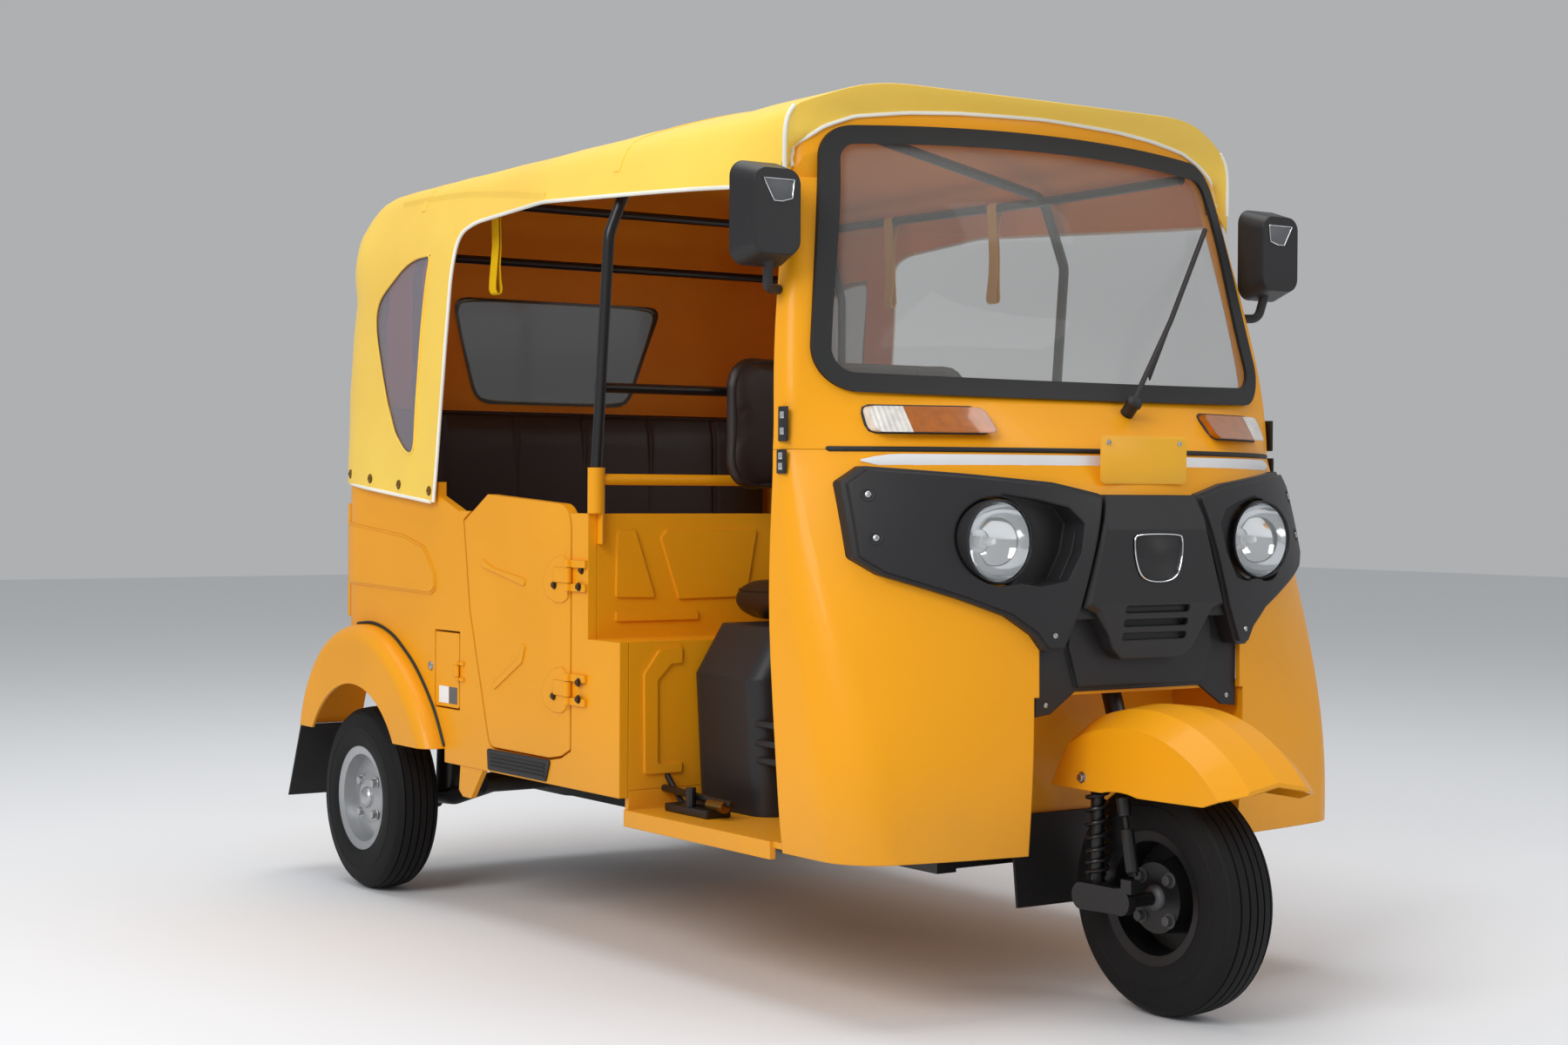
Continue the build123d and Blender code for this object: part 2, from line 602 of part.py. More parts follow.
def canopy_hull(inset):
    """Canopy as the common body of its side, front and top outlines, drawn in by inset."""
    half, rear, top = canopy_half - inset, canopy_rear_y - inset, roof_z - inset
    with BuildPart() as hull:
        with BuildSketch(Plane.YZ.offset(-800.0)) as side_view:
            with BuildLine():
                front = roof_front_y - 30.0
                Line((front, 1560.0 - inset), (front, 1636.0 - inset))
                ThreePointArc((front, 1636.0 - inset), (-330.0, top - 8), (60.0, top))
                ThreePointArc((60.0, top), (480.0, top - 14), (750.0, top - 48))
                Polyline((750.0, top - 48), (rear - 188, top - 92), (rear - 50, 1450.0), (rear - 8, 1300.0),
                         (rear, 860.0), (front, 860.0), (front, 1560.0 - inset))
            make_face()
            bends = [v for v in side_view.vertices() if v.X > 760 and v.Y > 1200]
            fillet(bends, 70.0)
        extrude(amount=1600.0)
        with BuildSketch(Plane.XZ.offset(1000.0)) as front_view:
            with BuildLine():
                Polyline((-half - 6, 850.0), (-half, 1000.0), (-half + 8, 1430.0),
                         (-half + 62, 1590.0 - inset))
                ThreePointArc((-half + 62, 1590.0 - inset), (0, top + 2), (half - 62, 1590.0 - inset))
                Polyline((half - 62, 1590.0 - inset), (half - 8, 1430.0), (half, 1000.0), (half + 6, 850.0),
                         (-half - 6, 850.0))
            make_face()
            fillet([v for v in front_view.vertices() if v.Y > 1400], 84.0 - inset)
        extrude(amount=-3000.0, mode=Mode.INTERSECT)
        with BuildSketch(Plane.XY.offset(840.0)) as top_view:
            with BuildLine():
                Polyline((half - 66, roof_side_y + inset), (half, -330.0), (half, rear), (-half, rear), (-half, -330.0),
                         (-half + 66, roof_side_y + inset))
                ThreePointArc((-half + 66, roof_side_y + inset), (0, roof_front_y + inset),
                              (half - 66, roof_side_y + inset))
            make_face()
            fillet(top_view.vertices().group_by(Axis.Y)[-1], body_corner_r + 9 - inset)
        extrude(amount=1000.0, mode=Mode.INTERSECT)
    return hull.part


with BuildPart() as windscreen_frame:
    add(upper_outer)
    add(upper_inner, mode=Mode.SUBTRACT)
    add(screen_prism(screen_lip), mode=Mode.SUBTRACT)
    # its head tucks under the cloth
    with BuildPart(mode=Mode.PRIVATE) as outside:
        with BuildSketch(Plane.XY.offset(1470.0)):
            Rectangle(2000.0, 2000.0)
        extrude(amount=400.0)
        add(canopy_hull(fabric + seat_gap), mode=Mode.SUBTRACT)
    add(outside.part, mode=Mode.SUBTRACT)
save("windscreen_frame", windscreen_frame.part)

with BuildPart() as canopy:
    add(canopy_hull(0.0))
    add(canopy_hull(fabric), mode=Mode.SUBTRACT)
    # hem rises towards the rear, open below it
    add(side_prism(((-900.0, 700.0), (-900.0, canopy_hem_z), (597.0, canopy_hem_z), (1300.0, canopy_hem_z + 64),
                    (1300.0, 700.0)), -700.0, 700.0), mode=Mode.SUBTRACT)
    # side openings from the pillar to the rear quarter
    add(side_prism(((-900.0, 700.0), (-900.0, 1602.0), (-664.0, 1602.0), (-622.0, 1456.0), (182.0, 1503.0), (471.0, 1484.0), (532.0, 1461.0),
                    (558.0, 1219.0), (597.0, canopy_hem_z), (597.0, 700.0)), -700.0, 700.0), mode=Mode.SUBTRACT)
    quarter = side_prism(((657.0, 1428.0), (780.0, 1420.0), (905.0, 1325.0), (880.0, 1230.0), (700.0, 992.0)),
                         -700.0, 700.0, 14.0)
    add(quarter, mode=Mode.SUBTRACT)
    with BuildSketch(Plane.XZ.offset(-1000.0)) as rear_pane:
        with BuildLine():
            Polyline((-210.0, 1131.0), (210.0, 1131.0), (290.0, 1378.0), (-290.0, 1378.0), close=True)
        make_face()
        fillet(rear_pane.vertices(), 40.0)
    extrude(amount=-300.0, mode=Mode.SUBTRACT)
save("canopy", canopy.part)

with BuildPart() as canopy_windows:
    add(canopy_hull(2.0))
    add(canopy_hull(fabric - 2.0), mode=Mode.SUBTRACT)
    with BuildPart(mode=Mode.PRIVATE) as pane_tools:
        add(side_prism(((657.0, 1428.0), (780.0, 1420.0), (905.0, 1325.0), (880.0, 1230.0), (700.0, 992.0)),
                       -700.0, 700.0, 14.0))
        with BuildSketch(Plane.XZ.offset(-1000.0)) as rear_pane:
            with BuildLine():
                Polyline((-210.0, 1131.0), (210.0, 1131.0), (290.0, 1378.0), (-290.0, 1378.0), close=True)
            make_face()
            fillet(rear_pane.vertices(), 40.0)
        extrude(amount=-300.0)
    add(pane_tools.part, mode=Mode.INTERSECT)
save("canopy_windows", canopy_windows.part)

# ---------------------------------------------------------------- tubes that carry the canopy
tube_r = 11.0
rail_r = 10.0
frame_half = canopy_half - fabric - tube_r - 1.0
frame_roof_z = roof_z - fabric - tube_r - 8.0
rail_top_x = body_half - 86.0
rail_top_z = 1552.0


def hoop(y_foot, foot_z, y_top, drop):
    """Crowned hoop from one side to the other; drop lowers its crown."""
    top = frame_roof_z - drop
    half = ((-frame_half + 4, y_foot, foot_z), (-frame_half + 6, y_top, 1420.0 - drop),
            (-frame_half + 68, y_top, top - 104))
    return tube([*half, (0, y_top, top), *[(-x, y, z) for x, y, z in half[::-1]]], tube_r, 60.0)


def bow(y, top, lean):
    """Flat-topped bow standing on the waist of the tub; lean draws its shoulders in."""
    half = ((-frame_half + 4, y, waist_z + 0.5), (-frame_half + 5, y, top - 170.0), (-frame_half + lean, y, top))
    return tube([*half, *[(-x, y, z) for x, y, z in half[::-1]]], rail_r, 55.0)


# rear bows: y, height of the flat top, how far its shoulders lean in
bow_table = ((rear_axle_y - 195.0, 1561.0, 58.0), (rear_axle_y - 15.0, 1452.0, 20.0))

with BuildPart() as canopy_frame:
    add(hoop(-58.0, 959.5, -99.0, 8.0))
    for y, top, lean in bow_table:
        add(bow(y, top, lean))
    for side in (1, -1):
        add(tube([(side * rail_top_x, bow_table[0][0], bow_table[0][1]), (side * rail_top_x, -99.0, rail_top_z),
                  (side * (rail_top_x - 22), -560.0, rail_top_z)], rail_r, 200.0))
    with BuildSketch(Plane.YZ.offset(-frame_half + 4)):
        with Locations((-58.0, 1115.0)):
            Circle(rail_r)
    extrude(amount=2 * (frame_half - 4))
save("canopy_frame", canopy_frame.part)

with BuildPart() as hand_straps:
    rail_slope = (bow_table[0][1] - rail_top_z) / (bow_table[0][0] + 99.0)
    for x, y, low_z in ((-rail_top_x, 495.0, 1335.0), (rail_top_x, 59.0, 1339.0), (rail_top_x, 447.0, 1352.0)):
        with BuildSketch(Plane.XY.offset(low_z)):
            with Locations((x, y)):
                Rectangle(5.0, 30.0)
        extrude(amount=rail_top_z + (y + 84.0) * rail_slope - rail_r - 2 * seat_gap - low_z)
save("hand_straps", hand_straps.part)

# ---------------------------------------------------------------- partition and floors
inner_half = body_half - body_wall - seat_gap
emboss_t = 4.0
# raised panels of the partition and the arch on the toe box (x, z from the middle of the vehicle)
emboss_outlines = (
    ((inner_half - 44.0, 827.0), (inner_half - 51.0, 835.0), (inner_half - 86.0, 835.0), (inner_half - 132.0, 701.0),
     (inner_half - 42.0, 703.0)),
    ((inner_half - 145.0, 820.0), (inner_half - 159.0, 835.0), (205.0, 835.0), (230.0, 699.0),
     (inner_half - 188.0, 697.0)),
    ((inner_half - 42.0, 655.0), (inner_half - 42.0, 673.0), (inner_half - 234.0, 673.0), (inner_half - 234.0, 655.0)),
)
arch_outlines = (
    (((460.0, 366.0), (inner_half - 35.0, 366.0), (inner_half - 33.0, 560.0), (inner_half - 67.0, 605.0),
      (460.0, 612.0)),
     ((440.0, 385.0), (inner_half - 65.0, 385.0), (inner_half - 64.0, 547.0), (inner_half - 95.0, 578.0),
      (440.0, 579.0))),
)
with BuildPart() as partition:
    add(side_prism(((toe_box_y, cabin_floor_z + seat_gap), (toe_box_y, toe_box_z), (partition_y, toe_box_z),
                    (partition_y, partition_z), (partition_y + sheet, partition_z),
                    (partition_y + sheet, toe_box_z - sheet), (toe_box_y + sheet, toe_box_z - sheet),
                    (toe_box_y + sheet, cabin_floor_z + seat_gap)), -inner_half, inner_half))
    for outline in emboss_outlines:
        for mirrored in (1, -1):
            add(front_prism([(mirrored * x, z) for x, z in outline], partition_y - emboss_t, emboss_t + 1.0,
                            corner=4.0))
    for outer_points, inner_points in arch_outlines:
        for mirrored in (1, -1):
            with BuildPart(mode=Mode.PRIVATE) as arch:
                add(front_prism([(mirrored * x, z) for x, z in outer_points], toe_box_y - emboss_t, emboss_t + 1.0,
                                corner=6.0))
                add(front_prism([(mirrored * x, z) for x, z in inner_points], toe_box_y - 20.0, 40.0, corner=6.0),
                    mode=Mode.SUBTRACT)
            add(arch.part)
    # posts and the lower rail
    for side in (1, -1):
        with BuildSketch(Plane.XY.offset(partition_z - 60)):
            with Locations((side * (frame_half - 4), -58.0)):
                Circle(17.0)
        extrude(amount=958.0 - partition_z + 60)
    with BuildSketch(Plane.YZ.offset(-frame_half + 4)):
        with Locations((-58.0, 935.0)):
            Circle(tube_r)
    extrude(amount=2 * (frame_half - 4))
    post_foot = ((-100.0, 700.0), (-100.0, partition_z), (-20.0, partition_z), (-20.0, 700.0))
    for side in (1, -1):
        add(side_prism(post_foot, side * inner_half, side * (inner_half + 60.0)), mode=Mode.SUBTRACT)
save("partition", partition.part)

with BuildPart() as floor_pan:
    with BuildSketch(Plane.XY.offset(driver_floor_z - sheet)):
        with Locations((0, (-900.0 + toe_box_y + sheet) / 2)):
            Rectangle(2 * body_half - 30.0, toe_box_y + sheet + 900.0)
        with Locations((0, -900.0 + (900.0 + well_rear_y + sheet) / 2)):
            Rectangle(2 * (well_half + sheet + seat_gap), 900.0 + well_rear_y + sheet + 2 * seat_gap, mode=Mode.SUBTRACT)
    extrude(amount=sheet)
    with BuildPart(mode=Mode.PRIVATE) as cowl_inside:
        add(front_hull(lower_sections, -skin - seat_gap, back=560.0))
    add(cowl_inside.part, mode=Mode.INTERSECT)
    with BuildSketch(Plane.XY.offset(driver_floor_z - sheet)):
        with Locations((0, -732.0)):
            Circle(26.0)
    extrude(amount=sheet, mode=Mode.SUBTRACT)
    for side in (1, -1):
        with BuildSketch(Plane.XY.offset(268.0)):
            with Locations((side * (body_half - 21.0), -420.0)):
                Rectangle(sheet, 500.0)
        extrude(amount=driver_floor_z - 268.0)
    add(side_prism(((toe_box_y, driver_floor_z - sheet), (toe_box_y, cabin_floor_z), (seat_box_y - seat_gap, cabin_floor_z),
                    (seat_box_y - seat_gap, cabin_floor_z - sheet), (toe_box_y + sheet, cabin_floor_z - sheet),
                    (toe_box_y + sheet, driver_floor_z - sheet)), -inner_half, inner_half))
save("floor_pan", floor_pan.part)

rail_x, rail_z0, rail_z1 = 250.0, 226.0, driver_floor_z - sheet - seat_gap
rail_front_y, rail_rear_y = -745.0, rear_axle_y - 245.0
head_low, head_high = 610.0, 760.0
arm_pivot_y, arm_pivot_z = rear_axle_y - 295.0, 262.0
with BuildPart() as chassis_frame:
    for side in (1, -1):
        with BuildSketch(Plane.XY.offset(rail_z0)):
            with Locations((side * rail_x, (rail_front_y + rail_rear_y) / 2)):
                Rectangle(44.0, rail_rear_y - rail_front_y)
        extrude(amount=rail_z1 - rail_z0)
    for y in (rail_front_y + 23.0, -150.0, 480.0, rail_rear_y - 30.0):
        with BuildSketch(Plane.XY.offset(rail_z0 + 6)):
            with Locations((0, y)):
                Rectangle(2 * rail_x, 40.0)
        extrude(amount=rail_z1 - rail_z0 - 12)
    with BuildSketch(Plane(origin=tuple(steer_point(head_low)), z_dir=steer_dir)):
        Circle(column_r + 12.0)
    extrude(amount=(head_high - head_low) / steer_dir[2])
    add(tube([(0, steer_point(680.0).Y + 10, 680.0), (0, -752.0, 668.0), (0, -730.0, 262.0)], 22.0, 60.0))
    with BuildSketch(Plane(origin=tuple(steer_point(head_low - 60)), z_dir=steer_dir)):
        Circle(column_r + seat_gap)
    extrude(amount=400.0, mode=Mode.SUBTRACT)
save("chassis_frame", chassis_frame.part)

# ---------------------------------------------------------------- seats and drive
pedestal_half = 445.0
with BuildPart() as seat_pedestal:
    with BuildSketch(Plane.XY.offset(driver_floor_z + seat_gap)):
        with Locations((0, toe_box_y - 120.0 - seat_gap)):
            RectangleRounded(2 * pedestal_half - 30.0, 240.0, 40.0)
    with BuildSketch(Plane.XY.offset(560.0)):
        with Locations((0, toe_box_y - 120.0 - seat_gap)):
            RectangleRounded(2 * pedestal_half, 240.0, 40.0)
    with BuildSketch(Plane.XY.offset(655.0)):
        with Locations((0, toe_box_y - 120.0 - seat_gap)):
            RectangleRounded(2 * pedestal_half - 120.0, 240.0, 40.0)
    loft(ruled=True)
save("seat_pedestal", seat_pedestal.part)

with BuildPart() as driver_cushion:
    with BuildSketch(Plane.XY.offset(655.3)):
        with Locations((0, -250.0)):
            RectangleRounded(640.0, 330.0, 50.0)
    extrude(amount=85.0)
save("driver_cushion", driver_cushion.part)

with BuildPart() as driver_backrest:
    with BuildSketch(Plane.XZ.offset(69.0 + seat_gap)):
        with Locations((0, 1050.0)):
            RectangleRounded(640.0, 292.0, 50.0)
    extrude(amount=60.0)
save("driver_backrest", driver_backrest.part)

bench_back_y = bench_wall_y - sheet / 2 - seat_gap
bench_width = 2 * (body_half - 40.0)
with BuildPart() as bench_cushion:
    with BuildSketch(Plane.XY.offset(deck_z + seat_gap)):
        with Locations((0, (seat_box_y + bench_back_y - 70.0) / 2)):
            RectangleRounded(bench_width, bench_back_y - 70.0 - seat_box_y, 40.0)
    extrude(amount=95.0)
save("bench_cushion", bench_cushion.part)

with BuildPart() as bench_backrest:
    with BuildSketch(Plane.XY.offset(deck_z + seat_gap)):
        with Locations((0, bench_back_y - 35.0)):
            RectangleRounded(bench_width, 69.0, 30.0)
    extrude(amount=1120.0 - deck_z)
save("bench_backrest", bench_backrest.part)

engine_half, engine_y0, engine_y1 = 200.0, rear_axle_y - 215.0, rear_axle_y + 145.0
engine_z0, engine_z1 = axle_z - 2.5, 540.0
with BuildPart() as engine_block:
    with BuildSketch(Plane.XY.offset(engine_z0)):
        with Locations((0, (engine_y0 + engine_y1) / 2)):
            RectangleRounded(2 * engine_half, engine_y1 - engine_y0, 30.0)
    extrude(amount=engine_z1 - engine_z0)
    with BuildSketch(Plane.XY.offset(240.0)):
        with Locations((0, engine_y0 - 19.0)):
            Rectangle(300.0, 41.0)
    extrude(amount=30.0)
save("engine_block", engine_block.part)

rear_hub_x = rear_track / 2
stub_r = 12.0
with BuildPart() as rear_suspension:
    for side in (1, -1):
        with BuildSketch(Plane.YZ.offset(side * 272.3)):
            with Locations((arm_pivot_y, arm_pivot_z)):
                Circle(22.0)
        extrude(amount=side * (wheelhouse_x - 15.0 - 272.3))
        add(tube([(side * (wheelhouse_x - 45.0), arm_pivot_y, arm_pivot_z),
                  (side * (wheelhouse_x - 35.0), rear_axle_y - 115.0, axle_z + 4.5),
                  (side * (wheelhouse_x - 25.0), rear_axle_y, axle_z)], 20.0, 100.0))
        with BuildSketch(Plane.YZ.offset(side * (wheelhouse_x - 50.0))):
            with Locations((rear_axle_y, axle_z)):
                Circle(34.0)
        extrude(amount=side * 60.0)
        with BuildSketch(Plane.YZ.offset(side * (engine_half + seat_gap))):
            with Locations((rear_axle_y, axle_z + 16)):
                Circle(15.0)
        extrude(amount=side * (wheelhouse_x - 40.0 - engine_half))
        with BuildSketch(Plane.YZ.offset(side * wheelhouse_x)):
            with Locations((rear_axle_y, axle_z)):
                Circle(stub_r)
        extrude(amount=side * (rear_hub_x + 26.0 - wheelhouse_x))
        add(tube([(side * (wheelhouse_x - 40.0), rear_axle_y - 75.0, axle_z + 14.5),
                  (side * (wheelhouse_x - 48.0), rear_axle_y - 83.0, deck_z - sheet - 1.5)], 30.0, 0))
save("rear_suspension", rear_suspension.part)

with BuildPart() as silencer:
    with BuildSketch(Plane.YZ.offset(-190.0)):
        with Locations((engine_y1 + 45.0, 262.0)):
            Circle(42.0)
    extrude(amount=380.0)
    add(tube([(150.0, engine_y1 + 45.0, 262.0), (150.0, engine_y1 - 20.0, 262.0)], 16.0, 0))
    add(engine_block.part, mode=Mode.SUBTRACT)
save("silencer", silencer.part)

with BuildPart() as tail_lamps:
    with BuildSketch(Plane.XZ.offset(-body_rear_y - seat_gap)):
        with Locations((body_half - 195.0, 790.0), (195.0 - body_half, 790.0)):
            RectangleRounded(78.0, 150.0, 16.0)
    extrude(amount=-26.0)
save("tail_lamps", tail_lamps.part)

# ---------------------------------------------------------------- foot pedals
with BuildPart() as foot_controls:
    for x in (-90.0, 60.0):
        with BuildSketch(Plane.XY.offset(driver_floor_z + seat_gap)):
            with Locations((x, -600.0)):
                Rectangle(24.0, 120.0)
        extrude(amount=16.0)
        add(tube([(x, -560.0, 316.0), (x, -620.0, 352.0), (x, -690.0, 392.0)], 7.0, 30.0))
        with BuildSketch(Plane(origin=(x, -692.0, 394.0), z_dir=(0, 0.6, 0.8))):
            RectangleRounded(64.0, 46.0, 8.0)
        extrude(amount=8.0)
save("foot_controls", foot_controls.part)

# ---------------------------------------------------------------- doors and lids
hinge_x = body_half + 8.0
hinge_y = door_front_y - run_gap / 2
hinge_heights = (520.0, 745.0)
knuckle_r, pin_r, knuckle_h = 8.0, 4.0, 30.0


# raised pressings of the door round its hinges and its slanting crease (y, z)
pad_t = 3.0
door_pads = (
    ((21.0, 772.0), (40.0, 784.0), (74.0, 780.0), (108.0, 757.0), (123.0, 727.0), (108.0, 701.0), (74.0, 690.0),
     (40.0, 690.0), (21.0, 700.0)),
    ((26.0, 552.0), (44.0, 562.0), (78.0, 556.0), (112.0, 534.0), (126.0, 503.0), (112.0, 480.0), (78.0, 470.0),
     (44.0, 470.0), (26.0, 480.0)),
    ((199.0, 716.0), (199.0, 732.0), (337.0, 750.0), (392.0, 770.0), (392.0, 752.0)),
    ((196.0, 596.0), (211.0, 560.0), (330.0, 497.0), (345.0, 505.0), (226.0, 570.0), (210.0, 600.0)),
)


def half_door(side):
    """One half door with its hinge leaves; side is +1 on the left of the vehicle."""
    with BuildPart() as door:
        add(door_prism(0.0, side * (body_half - door_t), side * body_half))
        for outline in door_pads:
            add(side_prism(outline, side * (body_half - 2.0), side * (body_half + pad_t), 7.0))
        for z in hinge_heights:
            with BuildSketch(Plane.XY.offset(z - knuckle_h / 2)):
                with Locations((side * hinge_x, hinge_y)):
                    Circle(knuckle_r)
                with Locations((side * (body_half + 3.0), hinge_y + 32.0)):
                    Rectangle(6.0, 62.0)
                with Locations((side * hinge_x, hinge_y)):
                    Circle(pin_r + 0.06, mode=Mode.SUBTRACT)
            extrude(amount=knuckle_h)
    return door.part


save("door_right", half_door(-1))
save("door_left", half_door(1))

with BuildPart() as door_hinges:
    for side in (1, -1):
        for z in hinge_heights:
            with BuildSketch(Plane.XY.offset(z - knuckle_h / 2 - 16.0)):
                with Locations((side * hinge_x, hinge_y)):
                    Circle(pin_r)
            extrude(amount=knuckle_h + 32.0)
            for low in (z - knuckle_h / 2 - 16.0, z + knuckle_h / 2 + 1.0):
                with BuildSketch(Plane.XY.offset(low)):
                    with Locations((side * hinge_x, hinge_y)):
                        Circle(knuckle_r)
                extrude(amount=15.0)
                with BuildSketch(Plane.XY.offset(low)):
                    with Locations((side * (body_half + 3.3), hinge_y - 32.0)):
                        Rectangle(6.0, 64.0)
                extrude(amount=15.0)
    # engine lid: two pins, each between a pair of lugs on the rear wall
    for x in (-220.0, 220.0):
        with BuildSketch(Plane.YZ.offset(x - lid_knuckle_l / 2 - 12.0)):
            with Locations((lid_axis_y, lid_axis_z)):
                Circle(lid_pin_r)
        extrude(amount=lid_knuckle_l + 24.0)
        for low in (x - lid_knuckle_l / 2 - 12.0, x + lid_knuckle_l / 2 + 1.0):
            with BuildSketch(Plane.YZ.offset(low)):
                with Locations((lid_axis_y, lid_axis_z)):
                    Circle(lid_knuckle_r)
                with Locations((body_rear_y + seat_gap + 2.5, lid_axis_z + 14.0)):
                    Rectangle(5.0, 28.0)
            extrude(amount=11.0)
    # fuel lid: one pin between two lugs on the side wall
    fuel_mid_z = (fuel_lid_z0 + fuel_lid_z1) / 2
    with BuildSketch(Plane.XY.offset(fuel_mid_z - fuel_knuckle_h / 2 - 9.0)):
        with Locations((fuel_axis_x, fuel_axis_y)):
            Circle(fuel_pin_r)
    extrude(amount=fuel_knuckle_h + 18.0)
    for low in (fuel_mid_z - fuel_knuckle_h / 2 - 9.0, fuel_mid_z + fuel_knuckle_h / 2 + 1.0):
        with BuildSketch(Plane.XY.offset(low)):
            with Locations((fuel_axis_x, fuel_axis_y)):
                Circle(fuel_knuckle_r)
            with Locations((-(body_half + seat_gap + 1.7), fuel_axis_y - 12.0)):
                Rectangle(3.4, 24.0)
        extrude(amount=8.0)
save("door_hinges", door_hinges.part)

with BuildPart() as engine_lid:
    with BuildSketch(Plane.XZ.offset(-body_rear_y + 16.0)):
        with Locations((0, (lid_low_z + lid_top_z) / 2)):
            Rectangle(2 * (lid_half - lid_gap), lid_top_z - lid_low_z - 2 * lid_gap)
    extrude(amount=-16.0)
    with BuildSketch(Plane.XZ.offset(-body_rear_y + 30.0)):
        with GridLocations(0.0, 26.0, 1, 7):
            with Locations((0, (lid_low_z + lid_top_z) / 2)):
                SlotOverall(440.0, 12.0)
    extrude(amount=-60.0, mode=Mode.SUBTRACT)
    for x in (-220.0, 220.0):
        with BuildSketch(Plane.YZ.offset(x - lid_knuckle_l / 2)):
            with Locations((lid_axis_y, lid_axis_z)):
                Circle(lid_knuckle_r)
            with Locations((lid_axis_y - 4.5, lid_axis_z - 12.0)):
                Rectangle(5.0, 24.0)
            with Locations((lid_axis_y, lid_axis_z)):
                Circle(lid_pin_r + 0.06, mode=Mode.SUBTRACT)
        extrude(amount=lid_knuckle_l)
save("engine_lid", engine_lid.part)

fuel_lid_t = 14.0
with BuildPart() as fuel_lid:
    with BuildSketch(Plane.YZ.offset(-body_half)):
        with Locations(((fuel_lid_y0 + fuel_lid_y1) / 2, (fuel_lid_z0 + fuel_lid_z1) / 2)):
            RectangleRounded(fuel_lid_y1 - fuel_lid_y0 - 2 * lid_gap, fuel_lid_z1 - fuel_lid_z0 - 2 * lid_gap, 6.0)
    extrude(amount=fuel_lid_t)
    with BuildSketch(Plane.XY.offset((fuel_lid_z0 + fuel_lid_z1 - fuel_knuckle_h) / 2)):
        with Locations((fuel_axis_x, fuel_axis_y)):
            Circle(fuel_knuckle_r)
        with Locations((-(body_half + 1.7), fuel_axis_y + 12.0)):
            Rectangle(3.4, 24.0)
        with Locations((fuel_axis_x, fuel_axis_y)):
            Circle(fuel_pin_r + 0.06, mode=Mode.SUBTRACT)
    extrude(amount=fuel_knuckle_h)
save("fuel_lid", fuel_lid.part)

# ---------------------------------------------------------------- steering and front wheel
leg_x = -86.0
leg_r = 12.0
link_pivot = (front_axle_y + 100.0, axle_z - 2.5)
bar_z = 1010.0

crown_z0, crown_z1 = axle_z + 220.5, axle_z + 250.5
spring_r, spring_z0, spring_z1 = 24.0, axle_z + 26.5, crown_z0 - seat_gap
damper_x, damper_r = -104.0, 12.0
damper_top = (front_axle_y + 19.0, crown_z0 - 30.0)
damper_foot = (front_axle_y - 13.0, axle_z + 44.5)
leg_y = link_pivot[0]
with BuildPart() as front_fork:
    with BuildSketch(Plane(origin=tuple(steer_point(crown_z0 + 8.0)), z_dir=steer_dir)):
        Circle(column_r)
    extrude(amount=(bar_z - crown_z0 - 8.0) / steer_dir[2])
    # crown plate reaches from the column to the single leg on the right
    with BuildSketch(Plane.XY.offset(crown_z0)):
        with BuildLine():
            Polyline((26.0, -926.0), (26.0, -972.0), (-60.0, -990.0), (-104.0, -990.0), (-104.0, -942.0),
                     (-60.0, -926.0), close=True)
        make_face()
    extrude(amount=crown_z1 - crown_z0)
    with BuildSketch(Plane.XY.offset(link_pivot[1])):
        with Locations((leg_x, leg_y)):
            Circle(leg_r)
    extrude(amount=crown_z0 + 2.0 - link_pivot[1])
    with BuildSketch(Plane.YZ.offset(leg_x - 20.0)):
        with Locations(link_pivot):
            Circle(24.0)
    extrude(amount=36.0)
    # damper bracket reaches forward from the crown
    add(side_prism(((-985.0, crown_z1 - 2.0), (-985.0, crown_z0 + 2.0), (-1034.0, damper_top[1]),
                    (-1060.0, damper_top[1]), (-1060.0, damper_top[1] + 18.0)), damper_x - 6.0, damper_x + 10.0))
save("front_fork", front_fork.part)

link_x0, link_x1 = leg_x - 38.0, leg_x - 20.0 - seat_gap
with BuildPart() as front_link:
    with BuildSketch(Plane.YZ.offset(link_x0)):
        with BuildLine():
            Polyline((link_pivot[0], link_pivot[1] + 24.0), (front_axle_y, axle_z + 22.0),
                     (front_axle_y, axle_z - 22.0), (link_pivot[0], link_pivot[1] - 24.0), close=True)
        make_face()
        with Locations(link_pivot, (front_axle_y, axle_z)):
            Circle(24.0)
        with Locations((damper_foot[0] - 3.0, damper_foot[1] - 16.0)):
            Rectangle(26.0, 24.0)
    extrude(amount=link_x1 - link_x0)
    with BuildSketch(Plane.YZ.offset(link_x1 - 1.0)):
        with Locations((front_axle_y, axle_z)):
            Circle(stub_r)
    extrude(amount=44.0 - link_x1)
save("front_link", front_link.part)

with BuildPart() as front_suspension:
    # coil spring round the leg, as its outer sleeve
    with BuildSketch(Plane.XY.offset(spring_z0)):
        with Locations((leg_x, leg_y)):
            Circle(spring_r)
            Circle(leg_r + seat_gap, mode=Mode.SUBTRACT)
    extrude(amount=spring_z1 - spring_z0)
    # damper from the link's nose to the crown's bracket
    damper_dir = (0, damper_top[0] - damper_foot[0], damper_top[1] - damper_foot[1])
    damper_length = math.hypot(damper_dir[1], damper_dir[2])
    with BuildSketch(Plane(origin=(damper_x, *damper_foot), z_dir=damper_dir)):
        Circle(damper_r)
    extrude(amount=damper_length - 4.0)
save("front_suspension", front_suspension.part)

guard_low_z = axle_z + 184.5
